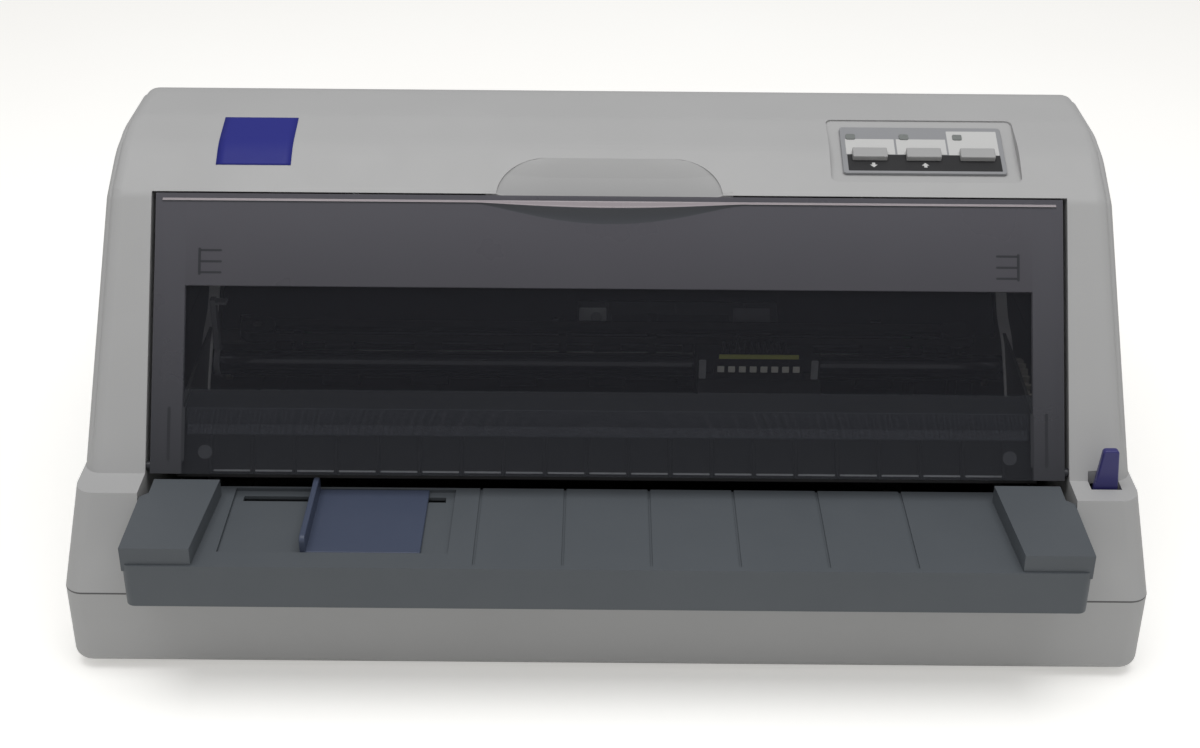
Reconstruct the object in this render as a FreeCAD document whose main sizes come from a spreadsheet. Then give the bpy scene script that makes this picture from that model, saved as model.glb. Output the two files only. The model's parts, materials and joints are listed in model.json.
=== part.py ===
import FreeCAD, Part
import math
import os
from collections import namedtuple
from types import SimpleNamespace
import Sketcher

# A flatbed dot matrix printer, 80 columns wide. Lengths are in millimetres and angles in degrees.
# X runs to the user's right, Y to the rear and Z up, from the middle of the footprint.

SIZES = {
    # Housing
    "case_width": 468, "case_depth": 402, "tray_overhang": 25, "wall": 2.6, "foot_height": 3.5,
    "seam_height": 41, "ledge_height": 83, "cheek_lean": 14.5, "ledge_depth": 15.9, "cover_slope": 57.5,
    "cover_rise": 103.3, "brow_run": 22, "brow_rise": 14.2, "crown_run": 22, "crown_rise": 5,
    "crown_flat": 36, "rear_top_height": 118, "rear_radius": 12, "ledge_half_width": 227.5,
    "top_half_width": 220, "plan_radius": 9, "sole_radius": 5, "crown_radius": 30, "side_radius": 11,
    "side_rise": 0.6,
    "cheek_radius": 4, "front_strip_height": 60, "opening_half_width": 200, "liner": 2.5,
    "liner_back": 60, "cover_gap": 0.8, "overrun": 5,
    # Paper tray and its edge guide
    "bed_height": 73, "tray_front_height": 53, "tray_skin": 3.2, "tray_half_width": 199.4,
    "tray_rear_half_width": 196, "tray_length": 61.3, "ear_length": 40, "side_bed_height": 81,
    "side_bed_inner": 167.5, "side_bed_length": 54, "bed_lip": 3, "groove_pitch": 36.6,
    "groove_width": 1.2, "groove_depth": 0.8, "recess_left": 162, "recess_right": 66,
    "recess_front": 11, "recess_length": 49, "guide_plate": 1.6, "guide_left": 127.5,
    "guide_width": 50, "guide_fin": 2.5, "guide_fin_height": 7, "slot_back": 4, "slot_width": 4,
    "key_depth": 4, "slide_gap": 0.3,
    # Front cover
    "cover_length": 122.5, "cover_half_width": 198, "cover_skin": 2.6, "cover_lip": 5, "cover_rib": 1.6,
    "pivot_up": 3.5, "pivot_in": 3, "hinge_pin_radius": 2, "running_gap": 0.05, "foam_up": 17,
    "foam_width": 12, "foam_thickness": 3.5, "foam_half_width": 183, "latch_rib_length": 22,
    "latch_rib_depth": 6, "latch_rib_pitch": 5, "latch_rungs": 3, "latch_rib_x": 179,
    "scoop_half_width": 49, "scoop_top_half_width": 31, "scoop_reach": 20, "brow_slope": 32.84,
    "scoop_depth": 7, "scoop_wall": 2.4, "scoop_corner": 18, "ramp_share": 0.6,
    # Control panel
    "panel_y": -54, "panel_z": 198.6, "panel_slope": 22, "panel_x": 139.4, "panel_width": 72.3,
    "panel_height": 29, "panel_recess_width": 84, "panel_recess_height": 40, "plate_thickness": 1.5,
    "seat_thickness": 2.5, "seat_margin": 3, "seat_height": 5, "button_width": 15.4,
    "button_height": 5.8, "button_proud": 2.6, "button_low": 6.7, "button_stroke": 1.2,
    "button_pitch": 23.9, "button_flange": 1.4, "flange_thickness": 1.2, "board_thickness": 1.6,
    "board_gap": 5.5, "switch_side": 6, "lamp_radius": 1.5, "lamp_up": 8,
    # Release lever
    "lever_slot_left": 208, "lever_slot_right": 221.2, "lever_slot_back": 6.8, "lever_slot_length": 9.1,
    "lever_thickness": 3.4, "lever_base_width": 10.3, "lever_tip_width": 6.7, "lever_height": 18.5,
    "lever_drop": 25, "lever_pin_radius": 2, "lever_boss_radius": 5, "lever_wall": 2,
    # Chassis
    "pan_seat": 9, "pan_thickness": 1.2, "pan_front": 132, "pan_rear": 188, "pan_lip": 3,
    "frame_inner": 188.7, "frame_plate": 1.6, "frame_front": 120, "frame_flange": 12,
    "frame_front_height": 97, "frame_shoulder_height": 100, "frame_peak_height": 126,
    "frame_rear_height": 84, "boss_radius": 5, "screw_radius": 1.7,
    "screw_head_radius": 3.4, "screw_head": 2.2, "foot_radius": 8, "foot_x": 195, "foot_inset": 32,
    "screw_inset": 22,
    # Guide behind the foot of the cover
    "entry_skin": 2, "entry_low": -1.5, "entry_high": 22, "entry_back": 11, "entry_rib": 2,
    "entry_half_width": 174.6, "entry_rear": 94, "entry_ribs": 20,
    # Platen, carriage and its drive
    "shaft_y": -46, "shaft_z": 84, "shaft_radius": 6, "platen_front": 66, "platen_depth": 12,
    "platen_height": 12.4, "platen_half_width": 178, "platen_gap": 0.3, "stay_depth": 20,
    "stay_height": 6, "rail_front": 93, "rail_depth": 12, "rail_height": 86, "rail_thickness": 2,
    "carriage_x": 70, "carriage_width": 57, "carriage_low": 76.5, "carriage_top": 93,
    "carriage_front": 91, "carriage_face": 72, "carriage_back": 36, "jaw": 2.5, "tower_top": 101.6,
    "tower_depth": 6, "head_half_width": 15.8, "head_front": 65.8, "head_back": 53.2, "head_low": 80,
    "head_top": 97, "nose_low": 74.2, "nose_half_width": 4, "nose_front": 62, "nose_back": 57,
    "fin": 1.2, "fin_pitch": 3.2, "fin_top": 101, "fins": 10, "terminal_width": 3.2, "terminal_height": 3,
    "terminal_proud": 0.8, "terminal_pitch": 5, "terminal_low": 95, "terminals": 8, "clamp_half_width": 8,
    "clamp_wall": 2,
    "pulley_x": 168, "pulley_y": -36.5, "pulley_radius": 7, "pulley_low": 93.5, "pulley_height": 6,
    "flange_radius": 8.5, "pulley_flange": 0.8, "belt_thickness": 1, "belt_gap": 0.3, "belt_flat": 0.1,
    "spindle": 2.5,
    "motor_radius": 19, "motor_height": 40, "spindle_depth": 4, "bracket_thickness": 1.6,
    "gap_lever_inner": 184.7, "gap_lever_width": 2.6, "gap_lever_ring": 7.5, "gap_lever_reach": 34,
    "gap_lever_arm": 5, "inner_cover_front": -26, "inner_cover_height": 90, "inner_cover_slope": 33,
    "inner_cover_length": 50, "inner_cover_skin": 2,
    "cover_hatch_left": -14.5, "cover_hatch_right": 83, "cover_hatch_up": 4, "cover_hatch_height": 14,
    "sight_hole": 5, "sight_hole_up": 3,
    # Paper feed
    "feed_z": 65, "feed_y": -18, "feed_shaft": 4, "feed_roll": 7.7, "roll_length": 18, "roll_pitch": 44,
    "pinch_shaft": 1.5, "pinch_roll": 4.5, "pinch_length": 14, "pinch_arm": 4, "pinch_arm_x": 152,
    "bush_radius": 6, "bush_length": 4, "tooth_module": 1.5, "gear_gap": 1.5, "gear_width": 6,
    "tooth_half_share": 0.4, "feed_teeth": 18, "linking_teeth": 34, "reduction_teeth": 26,
    "pinion_teeth": 8, "tractor_teeth": 36, "drive_teeth": 18, "reduction_angle": -20, "pinion_angle": -60,
    "chain_angle": 13.4,
    "feed_motor_radius": 19.5, "feed_motor_length": 30, "stud_radius": 2, "root_share": 1.15,
    "tip_share": 0.85,
    "tooth_foot_share": 1.6, "rolls": 7,
    # Tractors and rear bay
    "bay_front": 108, "bay_half_width": 150, "bay_floor": 62, "square_side": 6, "guide_shaft_radius": 3,
    "guide_shaft_gap": 24, "tractor_x": 105, "tractor_width": 14,
    "tractor_low": 9, "tractor_high": 9.6, "tractor_front": 12, "tractor_back": 12, "wheel_radius": 8.6,
    "pin_height": 2, "pin_width": 2, "pin_count": 8, "wheel_width": 5, "flap_thickness": 2, "flap_pin": 1,
    "flap_knuckle": 2, "flap_lug": 3,
    "rear_skin": 2.4, "rear_cover_low": 88, "lid_gap": 0.5, "lid_front_gap": 1.8, "lid_pivot_in": 2.2,
    "lid_pin": 1,
    "guide_floor_skin": 2, "guide_rib": 1.4, "guide_rib_height": 1, "guide_rib_pitch": 36, "guide_ribs": 9,
    # Electronics
    "board_seat": 18, "board_front": 76, "board_back": 186, "main_board_left": -176,
    "main_board_right": -14, "supply_left": 8, "supply_right": 178, "port_left": -150,
    "port_width": 55, "port_height": 12, "port_depth": 17, "usb_gap": 14, "usb_width": 12,
    "inlet_x": 150, "inlet_width": 27, "inlet_height": 20, "inlet_low": 14, "inlet_depth": 14,
    "inlet_wall": 2, "rear_gap": 0.6, "rocker_y": -104, "rocker_z": 24, "rocker_length": 16,
    "rocker_width": 10, "rocker_depth": 5, "rocker_lean": 6, "rocker_in": 4, "rocker_pin": 1,
    "chip_half": 12,
    "chip_height": 4, "can_height": 28, "switch_wall": 1.5,
    "switch_depth": 16,
}


class Size:
    """A length or an angle: its number, and the sheet expression that gives it."""

    def __init__(self, value, text):
        self.value = float(value)
        self.text = text

    def __add__(self, other):
        other = as_size(other)
        return Size(self.value + other.value, f"({self.text} + {other.text})")

    def __sub__(self, other):
        other = as_size(other)
        return Size(self.value - other.value, f"({self.text} - {other.text})")

    def __mul__(self, other):
        other = as_size(other)
        return Size(self.value * other.value, f"({self.text} * {other.text})")

    def __truediv__(self, other):
        other = as_size(other)
        return Size(self.value / other.value, f"({self.text} / {other.text})")

    def __neg__(self):
        return Size(-self.value, f"(-1 * {self.text})")

    def __radd__(self, other):
        return as_size(other) + self

    def __rmul__(self, other):
        return as_size(other) * self


Circle = namedtuple("Circle", "u v radius")

doc = FreeCAD.newDocument("printer")
sheet = doc.addObject("Spreadsheet::Sheet", "Sizes")
for row, (name, number) in enumerate(SIZES.items(), start=1):
    sheet.set(f"A{row}", name)
    sheet.set(f"B{row}", str(number))
    sheet.setAlias(f"B{row}", name)
doc.recompute()
S = SimpleNamespace(**{name: Size(number, "Sizes." + name) for name, number in SIZES.items()})
ZERO = Size(0, "0")
PLANE_SIGN = {"XY_Plane": 1, "YZ_Plane": 1, "XZ_Plane": -1}
nodes = []


def as_size(thing):
    return thing if isinstance(thing, Size) else Size(thing, str(thing))


def cosine(angle):
    return Size(math.cos(math.radians(angle.value)), f"cos({angle.text})")


def sine(angle):
    return Size(math.sin(math.radians(angle.value)), f"sin({angle.text})")


def bind(thing, path, amount):
    thing.setExpression(path, as_size(amount).text)


def keep(name, thing):
    """Marks an object as a finished sub-part under its own label."""
    thing.Label = name
    nodes.append(thing)
    return thing


def place(thing, x, y, z, turn=ZERO, axis=(1, 0, 0)):
    """Puts a sub-part at a point, turned about an axis through its own origin."""
    thing.Placement = FreeCAD.Placement(FreeCAD.Vector(),
                                        FreeCAD.Rotation(FreeCAD.Vector(*axis), turn.value))
    if turn is not ZERO:
        bind(thing, "Placement.Rotation.Angle", turn)
    for letter, amount in (("x", x), ("y", y), ("z", z)):
        bind(thing, "Placement.Base." + letter, amount)
    return thing


def fix_point(sketch, geometry, end, u, v):
    for kind, amount in (("DistanceX", as_size(u)), ("DistanceY", as_size(v))):
        index = sketch.addConstraint(Sketcher.Constraint(kind, -1, 1, geometry, end, amount.value))
        sketch.setExpression(f"Constraints[{index}]", amount.text)


def fix_radius(sketch, geometry, radius):
    index = sketch.addConstraint(Sketcher.Constraint("Radius", geometry, as_size(radius).value))
    sketch.setExpression(f"Constraints[{index}]", as_size(radius).text)


def draw_circle(sketch, circle):
    centre = FreeCAD.Vector(as_size(circle.u).value, as_size(circle.v).value, 0)
    normal = FreeCAD.Vector(0, 0, 1)
    geometry = sketch.addGeometry(Part.Circle(centre, normal, as_size(circle.radius).value))
    fix_point(sketch, geometry, 3, circle.u, circle.v)
    fix_radius(sketch, geometry, circle.radius)


def draw_outline(sketch, corners):
    """Draws a closed outline whose corners are (u, v), or (u, v, radius) where they are rounded."""
    points = [FreeCAD.Vector(as_size(c[0]).value, as_size(c[1]).value, 0) for c in corners]
    count = len(points)
    arrive, leave, centres = [], [], []
    for i, corner in enumerate(points):
        back = (points[i - 1] - corner).normalize()
        ahead = (points[(i + 1) % count] - corner).normalize()
        radius = corners[i][2].value if len(corners[i]) > 2 else 0
        half = back.getAngle(ahead) / 2
        reach = radius / math.tan(half)
        arrive.append(corner + back * reach)
        leave.append(corner + ahead * reach)
        centres.append(corner + (back + ahead).normalize() * (radius / math.sin(half)) if radius else None)
    lines = [sketch.addGeometry(Part.LineSegment(leave[i], arrive[(i + 1) % count])) for i in range(count)]
    for i, corner in enumerate(points):
        before = lines[i - 1]
        after = lines[i]
        u, v = corners[i][0], corners[i][1]
        if centres[i] is None:
            sketch.addConstraint(Sketcher.Constraint("Coincident", before, 2, after, 1))
            fix_point(sketch, after, 1, u, v)
            continue
        spokes = [arrive[i] - centres[i], leave[i] - centres[i]]
        left_turn = spokes[0].cross(spokes[1]).z > 0
        if not left_turn:
            spokes.reverse()
        angles = [math.atan2(spoke.y, spoke.x) for spoke in spokes]
        rim = Part.Circle(centres[i], FreeCAD.Vector(0, 0, 1), corners[i][2].value)
        arc = sketch.addGeometry(Part.ArcOfCircle(rim, *angles))
        point = sketch.addGeometry(Part.Point(corner), True)
        first, second = (1, 2) if left_turn else (2, 1)
        sketch.addConstraint(Sketcher.Constraint("Tangent", before, 2, arc, first))
        sketch.addConstraint(Sketcher.Constraint("Tangent", arc, second, after, 1))
        sketch.addConstraint(Sketcher.Constraint("PointOnObject", point, 1, before))
        sketch.addConstraint(Sketcher.Constraint("PointOnObject", point, 1, after))
        fix_point(sketch, point, 1, u, v)
        fix_radius(sketch, arc, corners[i][2])


def add_sketch(body, plane, offset, loops):
    sketch = body.newObject("Sketcher::SketchObject", body.Name + "_sketch")
    support = [item for item in body.Origin.OriginFeatures if item.Role == plane][0]
    sketch.AttachmentSupport = (support, [""])
    sketch.MapMode = "FlatFace"
    bind(sketch, "AttachmentOffset.Base.z", as_size(offset) * PLANE_SIGN[plane])
    for loop in loops:
        if isinstance(loop, Circle):
            draw_circle(sketch, loop)
        else:
            draw_outline(sketch, loop)
    return sketch


def new_body(name):
    return doc.addObject("PartDesign::Body", name)


def pad(body, plane, span, *loops):
    """Adds an outline's prism between two heights along the plane's own axis."""
    low, high = span
    sketch = add_sketch(body, plane, low, loops)
    feature = body.newObject("PartDesign::Pad", body.Name + "_pad")
    feature.Profile = sketch
    feature.Reversed = PLANE_SIGN[plane] < 0
    bind(feature, "Length", as_size(high) - low)
    return feature


def pocket(body, plane, span, *loops):
    """Cuts an outline's prism between two heights along the plane's own axis."""
    low, high = span
    sketch = add_sketch(body, plane, low, loops)
    feature = body.newObject("PartDesign::Pocket", body.Name + "_pocket")
    feature.Profile = sketch
    feature.Reversed = PLANE_SIGN[plane] > 0
    bind(feature, "Length", as_size(high) - low)
    return feature


def turned(body, *loops, plane="XZ_Plane", axis="H_Axis"):
    """Adds a solid of revolution about one axis of the plane."""
    sketch = add_sketch(body, plane, ZERO, loops)
    feature = body.newObject("PartDesign::Revolution", body.Name + "_turned")
    feature.Profile = sketch
    feature.ReferenceAxis = (sketch, [axis])
    feature.Angle = 360
    return feature


def row_of(body, feature, pitch, count):
    """Repeats a feature across the object, along X."""
    doc.recompute()
    pattern = body.newObject("PartDesign::LinearPattern", body.Name + "_row")
    pattern.Originals = [feature]
    axis = [item for item in body.Origin.OriginFeatures if item.Role == "X_Axis"][0]
    pattern.Direction = (axis, [""])
    pattern.Occurrences = int(count.value)
    bind(pattern, "Length", pitch * (count - 1))
    body.Tip = pattern


def ring_of(body, feature, count):
    """Repeats a feature around its body's own X axis."""
    doc.recompute()
    pattern = body.newObject("PartDesign::PolarPattern", body.Name + "_ring")
    pattern.Originals = [feature]
    axis = [item for item in body.Origin.OriginFeatures if item.Role == "X_Axis"][0]
    pattern.Axis = (axis, [""])
    pattern.Angle = 360
    pattern.Occurrences = int(count.value)
    body.Tip = pattern


def round_edges(body, radius, chosen):
    """Rounds the edges of a body that a test picks out."""
    doc.recompute()
    base = body.Tip
    names = [f"Edge{i}" for i, edge in enumerate(base.Shape.Edges, start=1) if chosen(edge)]
    feature = body.newObject("PartDesign::Fillet", body.Name + "_round")
    feature.Base = (base, names)
    bind(feature, "Radius", radius)
    return feature


def box(name, across, along, up):
    block = doc.addObject("Part::Box", name)
    for side, letter, (low, high) in (("Length", "x", across), ("Width", "y", along), ("Height", "z", up)):
        bind(block, side, as_size(high) - low)
        bind(block, "Placement.Base." + letter, low)
    return block


def rod(name, axis, span, centre, radius):
    """A cylinder along an axis, between two places on it, at the other two coordinates."""
    cylinder = doc.addObject("Part::Cylinder", name)
    low, high = span
    bind(cylinder, "Radius", radius)
    bind(cylinder, "Height", as_size(high) - low)
    turns = {"x": ((0, 1, 0), 90), "y": ((1, 0, 0), -90), "z": ((0, 0, 1), 0)}
    vector, angle = turns[axis]
    cylinder.Placement = FreeCAD.Placement(FreeCAD.Vector(),
                                           FreeCAD.Rotation(FreeCAD.Vector(*vector), angle))
    others = [letter for letter in "xyz" if letter != axis]
    for letter, amount in [(axis, low)] + list(zip(others, centre)):
        bind(cylinder, "Placement.Base." + letter, amount)
    return cylinder


def join(name, *things):
    joined = doc.addObject("Part::MultiFuse", name)
    joined.Shapes = list(things)
    joined.Refine = True
    return joined


def cut(name, base, *tools):
    result = doc.addObject("Part::Cut", name)
    result.Base = base
    result.Tool = tools[0] if len(tools) == 1 else join(name + "_tools", *tools)
    return result


def common(name, first, second):
    overlap = doc.addObject("Part::MultiCommon", name)
    overlap.Shapes = [first, second]
    return overlap


def group(name, *solids):
    """Separate solids that share one sub-part."""
    bundle = doc.addObject("Part::Compound", name)
    bundle.Links = list(solids)
    return keep(name, bundle)


def mirrored_sides():
    return (("left", Size(-1, "-1")), ("right", Size(1, "1")))


def between(side, near, far):
    """A span across the object from near to far of the middle, on the side given by its sign."""
    spans = (near * side, as_size(far) * side)
    return spans if side.value > 0 else spans[::-1]


# Places that several sub-parts share
HALF_WIDTH = S.case_width / 2
REAR = S.case_depth / 2
TRAY_FRONT = -REAR
FRONT = TRAY_FRONT + S.tray_overhang
LEDGE_FRONT = FRONT + S.cheek_lean
LEDGE_BACK = LEDGE_FRONT + S.ledge_depth
COVER_TOP_Y = LEDGE_BACK + S.cover_rise * cosine(S.cover_slope) / sine(S.cover_slope)
COVER_TOP_Z = S.ledge_height + S.cover_rise
BROW_Y = COVER_TOP_Y + S.brow_run
BROW_Z = COVER_TOP_Z + S.brow_rise
CROWN_Y = BROW_Y + S.crown_run
CROWN_Z = BROW_Z + S.crown_rise
CROWN_BACK = CROWN_Y + S.crown_flat
REAR_FALL = (CROWN_Z - S.rear_top_height) / (REAR - CROWN_BACK)


def on_cover(up, inward):
    """A point of the side view, measured up the cover's outer face and square into the machine."""
    y = LEDGE_BACK + up * cosine(S.cover_slope) + inward * sine(S.cover_slope)
    z = S.ledge_height + up * sine(S.cover_slope) - inward * cosine(S.cover_slope)
    return y, z


def on_brow(up, inward):
    """A point of the side view, measured up the brow from the top of the cover and square into the machine."""
    y = COVER_TOP_Y + up * cosine(S.brow_slope) + inward * sine(S.brow_slope)
    z = COVER_TOP_Z + up * sine(S.brow_slope) - inward * cosine(S.brow_slope)
    return y, z


def rear_slope(y):
    """Height of the rear slope of the case at a depth."""
    return CROWN_Z - (y - CROWN_BACK) * REAR_FALL


def upper_form(name, inset, low):
    """The upper case as a solid block, or its hollow when every face moves in by the wall."""
    form = new_body(name)
    front, rear = FRONT + inset, REAR - inset
    side = [(front, low), (LEDGE_FRONT + inset, S.ledge_height - inset),
            (LEDGE_BACK + inset, S.ledge_height - inset),
            (COVER_TOP_Y + inset, COVER_TOP_Z - inset, S.rear_radius - inset),
            (BROW_Y, BROW_Z - inset, S.crown_radius - inset),
            (CROWN_Y, CROWN_Z - inset, S.crown_radius - inset),
            (CROWN_BACK, CROWN_Z - inset, S.crown_radius - inset),
            (rear, S.rear_top_height - inset, S.rear_radius - inset), (rear, low)]
    half = HALF_WIDTH - inset
    pad(form, "YZ_Plane", (-half, half), side)
    ledge_half = S.ledge_half_width - inset
    top_half = S.top_half_width - inset
    top = CROWN_Z - inset + S.side_rise
    far = half + S.overrun
    over = top + S.overrun
    around = [(-far, low), (-half, low), (-ledge_half, S.ledge_height - inset),
              (-top_half, top, S.side_radius - inset),
              (top_half, top, S.side_radius - inset), (ledge_half, S.ledge_height - inset), (half, low),
              (far, low),
              (far, over), (-far, over)]
    pocket(form, "XZ_Plane", (FRONT - S.overrun, REAR + S.overrun), around)
    tall = (S.ledge_height - S.seam_height).value / 2

    def upright(edge):
        frame = edge.BoundBox
        return frame.ZLength > tall and frame.YLength < S.tray_overhang.value \
            and abs(frame.Center.x) > top_half.value

    round_edges(form, S.plan_radius - inset, upright)
    return form


def toothed_radius(teeth):
    return teeth * S.tooth_module / 2


def reduction_axis():
    reach = toothed_radius(S.feed_teeth) + toothed_radius(S.reduction_teeth)
    return S.feed_y + reach * cosine(S.reduction_angle), S.feed_z + reach * sine(S.reduction_angle)


def motor_axis():
    y, z = reduction_axis()
    reach = toothed_radius(S.reduction_teeth) + toothed_radius(S.pinion_teeth)
    return y + reach * cosine(S.pinion_angle), z + reach * sine(S.pinion_angle)


def chain_point(reach):
    """A point of the gear chain that runs from the reduction gear to the tractors."""
    y, z = reduction_axis()
    return y + reach * cosine(S.chain_angle), z + reach * sine(S.chain_angle)


def first_tractor_axis():
    return chain_point(toothed_radius(S.reduction_teeth) + toothed_radius(S.tractor_teeth))


def second_tractor_axis():
    return chain_point(toothed_radius(S.reduction_teeth) + toothed_radius(S.tractor_teeth) * 3)


def tractor_axis():
    return chain_point(toothed_radius(S.reduction_teeth) + toothed_radius(S.tractor_teeth) * 4
                       + toothed_radius(S.drive_teeth))


def front_roll_y():
    return S.feed_y - toothed_radius(S.feed_teeth) * 2 - toothed_radius(S.linking_teeth) * 2


def lid_pivot():
    y = S.bay_front + S.lid_front_gap * 2
    return y, rear_slope(y) - S.lid_pivot_in


def slope_body(name, y, z, turn):
    """A body whose own XY plane lies along a slope of the case."""
    return place(new_body(name), ZERO, y, z, turn)


# Counts of groove pitches from the middle at which the tray's bed has a groove
GROOVE_COUNTS = (-1.5, -0.5, 0.5, 1.5, 2.5, 3.5)
# Places of three pieces in a row, in pitches from the middle one
THREE_IN_A_ROW = (-1, 0, 1)


def lower_case():
    form = new_body("lower_case_body")
    outline = [(-HALF_WIDTH, FRONT, S.plan_radius), (HALF_WIDTH, FRONT, S.plan_radius),
               (HALF_WIDTH, REAR, S.rear_radius), (-HALF_WIDTH, REAR, S.rear_radius)]
    pad(form, "XY_Plane", (S.foot_height, S.seam_height), outline)
    sole = S.foot_height.value + 0.01
    round_edges(form, S.sole_radius, lambda edge: edge.BoundBox.ZMax < sole)
    half, inner = HALF_WIDTH - S.wall, S.plan_radius - S.wall
    hollow = [(-half, FRONT + S.wall, inner), (half, FRONT + S.wall, inner),
              (half, REAR - S.wall, inner), (-half, REAR - S.wall, inner)]
    floor = S.foot_height + S.wall
    pocket(form, "XY_Plane", (floor, S.seam_height + S.overrun), hollow)
    for x, y in corner_points(S.foot_x - S.screw_inset, S.foot_inset + S.screw_inset):
        pad(form, "XY_Plane", (floor - S.wall / 2, S.pan_seat), square(x, y, S.boss_radius))
    for x, y in corner_points(S.foot_x - S.screw_inset, S.foot_inset + S.screw_inset):
        pocket(form, "XY_Plane", (ZERO, S.foot_height + S.screw_head), Circle(x, y, S.screw_head_radius))
        pocket(form, "XY_Plane", (ZERO, S.seam_height), Circle(x, y, S.screw_radius))
    port_low = S.board_seat + S.board_thickness - S.rear_gap
    ports = [(S.port_left, S.port_left + S.port_width, port_low, port_low + S.port_height),
             (S.port_left + S.port_width + S.usb_gap, S.port_left + S.port_width + S.usb_gap + S.usb_width,
              port_low, port_low + S.port_height),
             (S.inlet_x - S.inlet_width / 2, S.inlet_x + S.inlet_width / 2, S.inlet_low,
              S.inlet_low + S.inlet_height)]
    for left, right, low, high in ports:
        window = [(left - S.rear_gap, low - S.rear_gap), (right + S.rear_gap, low - S.rear_gap),
                  (right + S.rear_gap, high + S.rear_gap), (left - S.rear_gap, high + S.rear_gap)]
        pocket(form, "XZ_Plane", (REAR - S.wall * 2, REAR + S.overrun), window)
    half_y, half_z = S.rocker_width / 2 + S.switch_wall, S.rocker_length / 2 + S.switch_wall
    window = [(S.rocker_y - half_y, S.rocker_z - half_z), (S.rocker_y + half_y, S.rocker_z - half_z),
              (S.rocker_y + half_y, S.rocker_z + half_z), (S.rocker_y - half_y, S.rocker_z + half_z)]
    pocket(form, "YZ_Plane", (-HALF_WIDTH - S.overrun, -HALF_WIDTH + S.wall * 2), window)
    keep("lower_case", form)


def square(x, y, half):
    return [(x - half, y - half), (x + half, y - half), (x + half, y + half), (x - half, y + half)]


def corner_points(x, inset):
    """Four points near the corners of the base."""
    return [(-x, FRONT + inset), (x, FRONT + inset), (-x, REAR - inset), (x, REAR - inset)]


def feet_and_screws():
    feet = [rod("foot", "z", (ZERO, S.foot_height), point, S.foot_radius)
            for point in corner_points(S.foot_x, S.foot_inset)]
    group("rubber_feet", *feet)
    screws = []
    for point in corner_points(S.foot_x - S.screw_inset, S.foot_inset + S.screw_inset):
        head_low = S.foot_height + S.screw_head / 4
        head = rod("head", "z", (head_low, S.foot_height + S.screw_head), point,
                   S.screw_head_radius - S.running_gap)
        shank = rod("shank", "z", (head_low, S.pan_seat + S.pan_thickness + S.screw_head), point,
                    S.screw_radius - S.running_gap)
        screws.append(join("screw", head, shank))
    group("case_screws", *screws)


def upper_case():
    outer = upper_form("upper_outer", ZERO, S.seam_height)
    hollow = upper_form("upper_hollow", S.wall, S.seam_height - S.overrun)
    shell = cut("upper_shell", outer, hollow)
    parts = [shell]
    high = CROWN_Z + S.overrun
    for side, sign in mirrored_sides():
        wall_x = between(sign, S.opening_half_width, S.opening_half_width + S.liner)
        slab = box(side + "_cheek_slab", wall_x, (FRONT - S.overrun, -S.liner_back), (S.seam_height, high))
        parts.append(common(side + "_cheek_wall", outer, slab))
        bay_x = between(sign, S.bay_half_width, S.bay_half_width + S.liner)
        slab = box(side + "_bay_slab", bay_x, (S.bay_front - S.liner, REAR + S.overrun),
                   (S.bay_floor, high))
        parts.append(common(side + "_bay_wall", outer, slab))
    panel_seat = slope_body("panel_seat", S.panel_y, S.panel_z, S.panel_slope)
    half_x = S.panel_recess_width / 2 + S.seat_margin
    half_v = S.panel_recess_height / 2 + S.seat_margin
    left, right = S.panel_x - half_x, S.panel_x + half_x
    pad(panel_seat, "XY_Plane", (-S.plate_thickness - S.seat_thickness, S.seat_height),
        [(left, -half_v), (right, -half_v), (right, half_v), (left, half_v)])
    parts.append(common("panel_seat_wall", outer, panel_seat))
    scoop_seat = slope_body("scoop_seat", COVER_TOP_Y, COVER_TOP_Z, S.brow_slope)
    half_x = S.scoop_half_width + S.scoop_wall * 2
    pad(scoop_seat, "XY_Plane", (-S.scoop_depth - S.scoop_wall, S.scoop_reach),
        [(-half_x, ZERO), (half_x, ZERO), (half_x, S.scoop_reach + S.scoop_wall),
         (-half_x, S.scoop_reach + S.scoop_wall)])
    parts.append(common("scoop_seat_wall", outer, scoop_seat))
    pivot_y, pivot_z = lever_pivot()
    for name, left in (("lever_left_wall", S.lever_slot_left - S.lever_wall),
                       ("lever_right_wall", S.lever_slot_right)):
        parts.append(box(name, (left, left + S.lever_wall), (pivot_y - S.lever_boss_radius,
                     pivot_y + S.lever_boss_radius),
                     (pivot_z - S.lever_boss_radius, S.ledge_height - S.wall / 2)))
    parts.append(rod("lever_pin", "x", (S.lever_slot_left - S.lever_wall / 2,
                                        S.lever_slot_right + S.lever_wall / 2),
                     (pivot_y, pivot_z), S.lever_pin_radius))
    solid = join("upper_solid", *parts)
    keep("upper_case", cut("upper_case", solid, *upper_openings()))


def lever_pivot():
    """The release lever turns about this point of the side view."""
    y = LEDGE_BACK - S.lever_slot_back + S.lever_slot_length / 2
    return y - S.lever_thickness / 2, S.ledge_height - S.lever_drop


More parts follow.
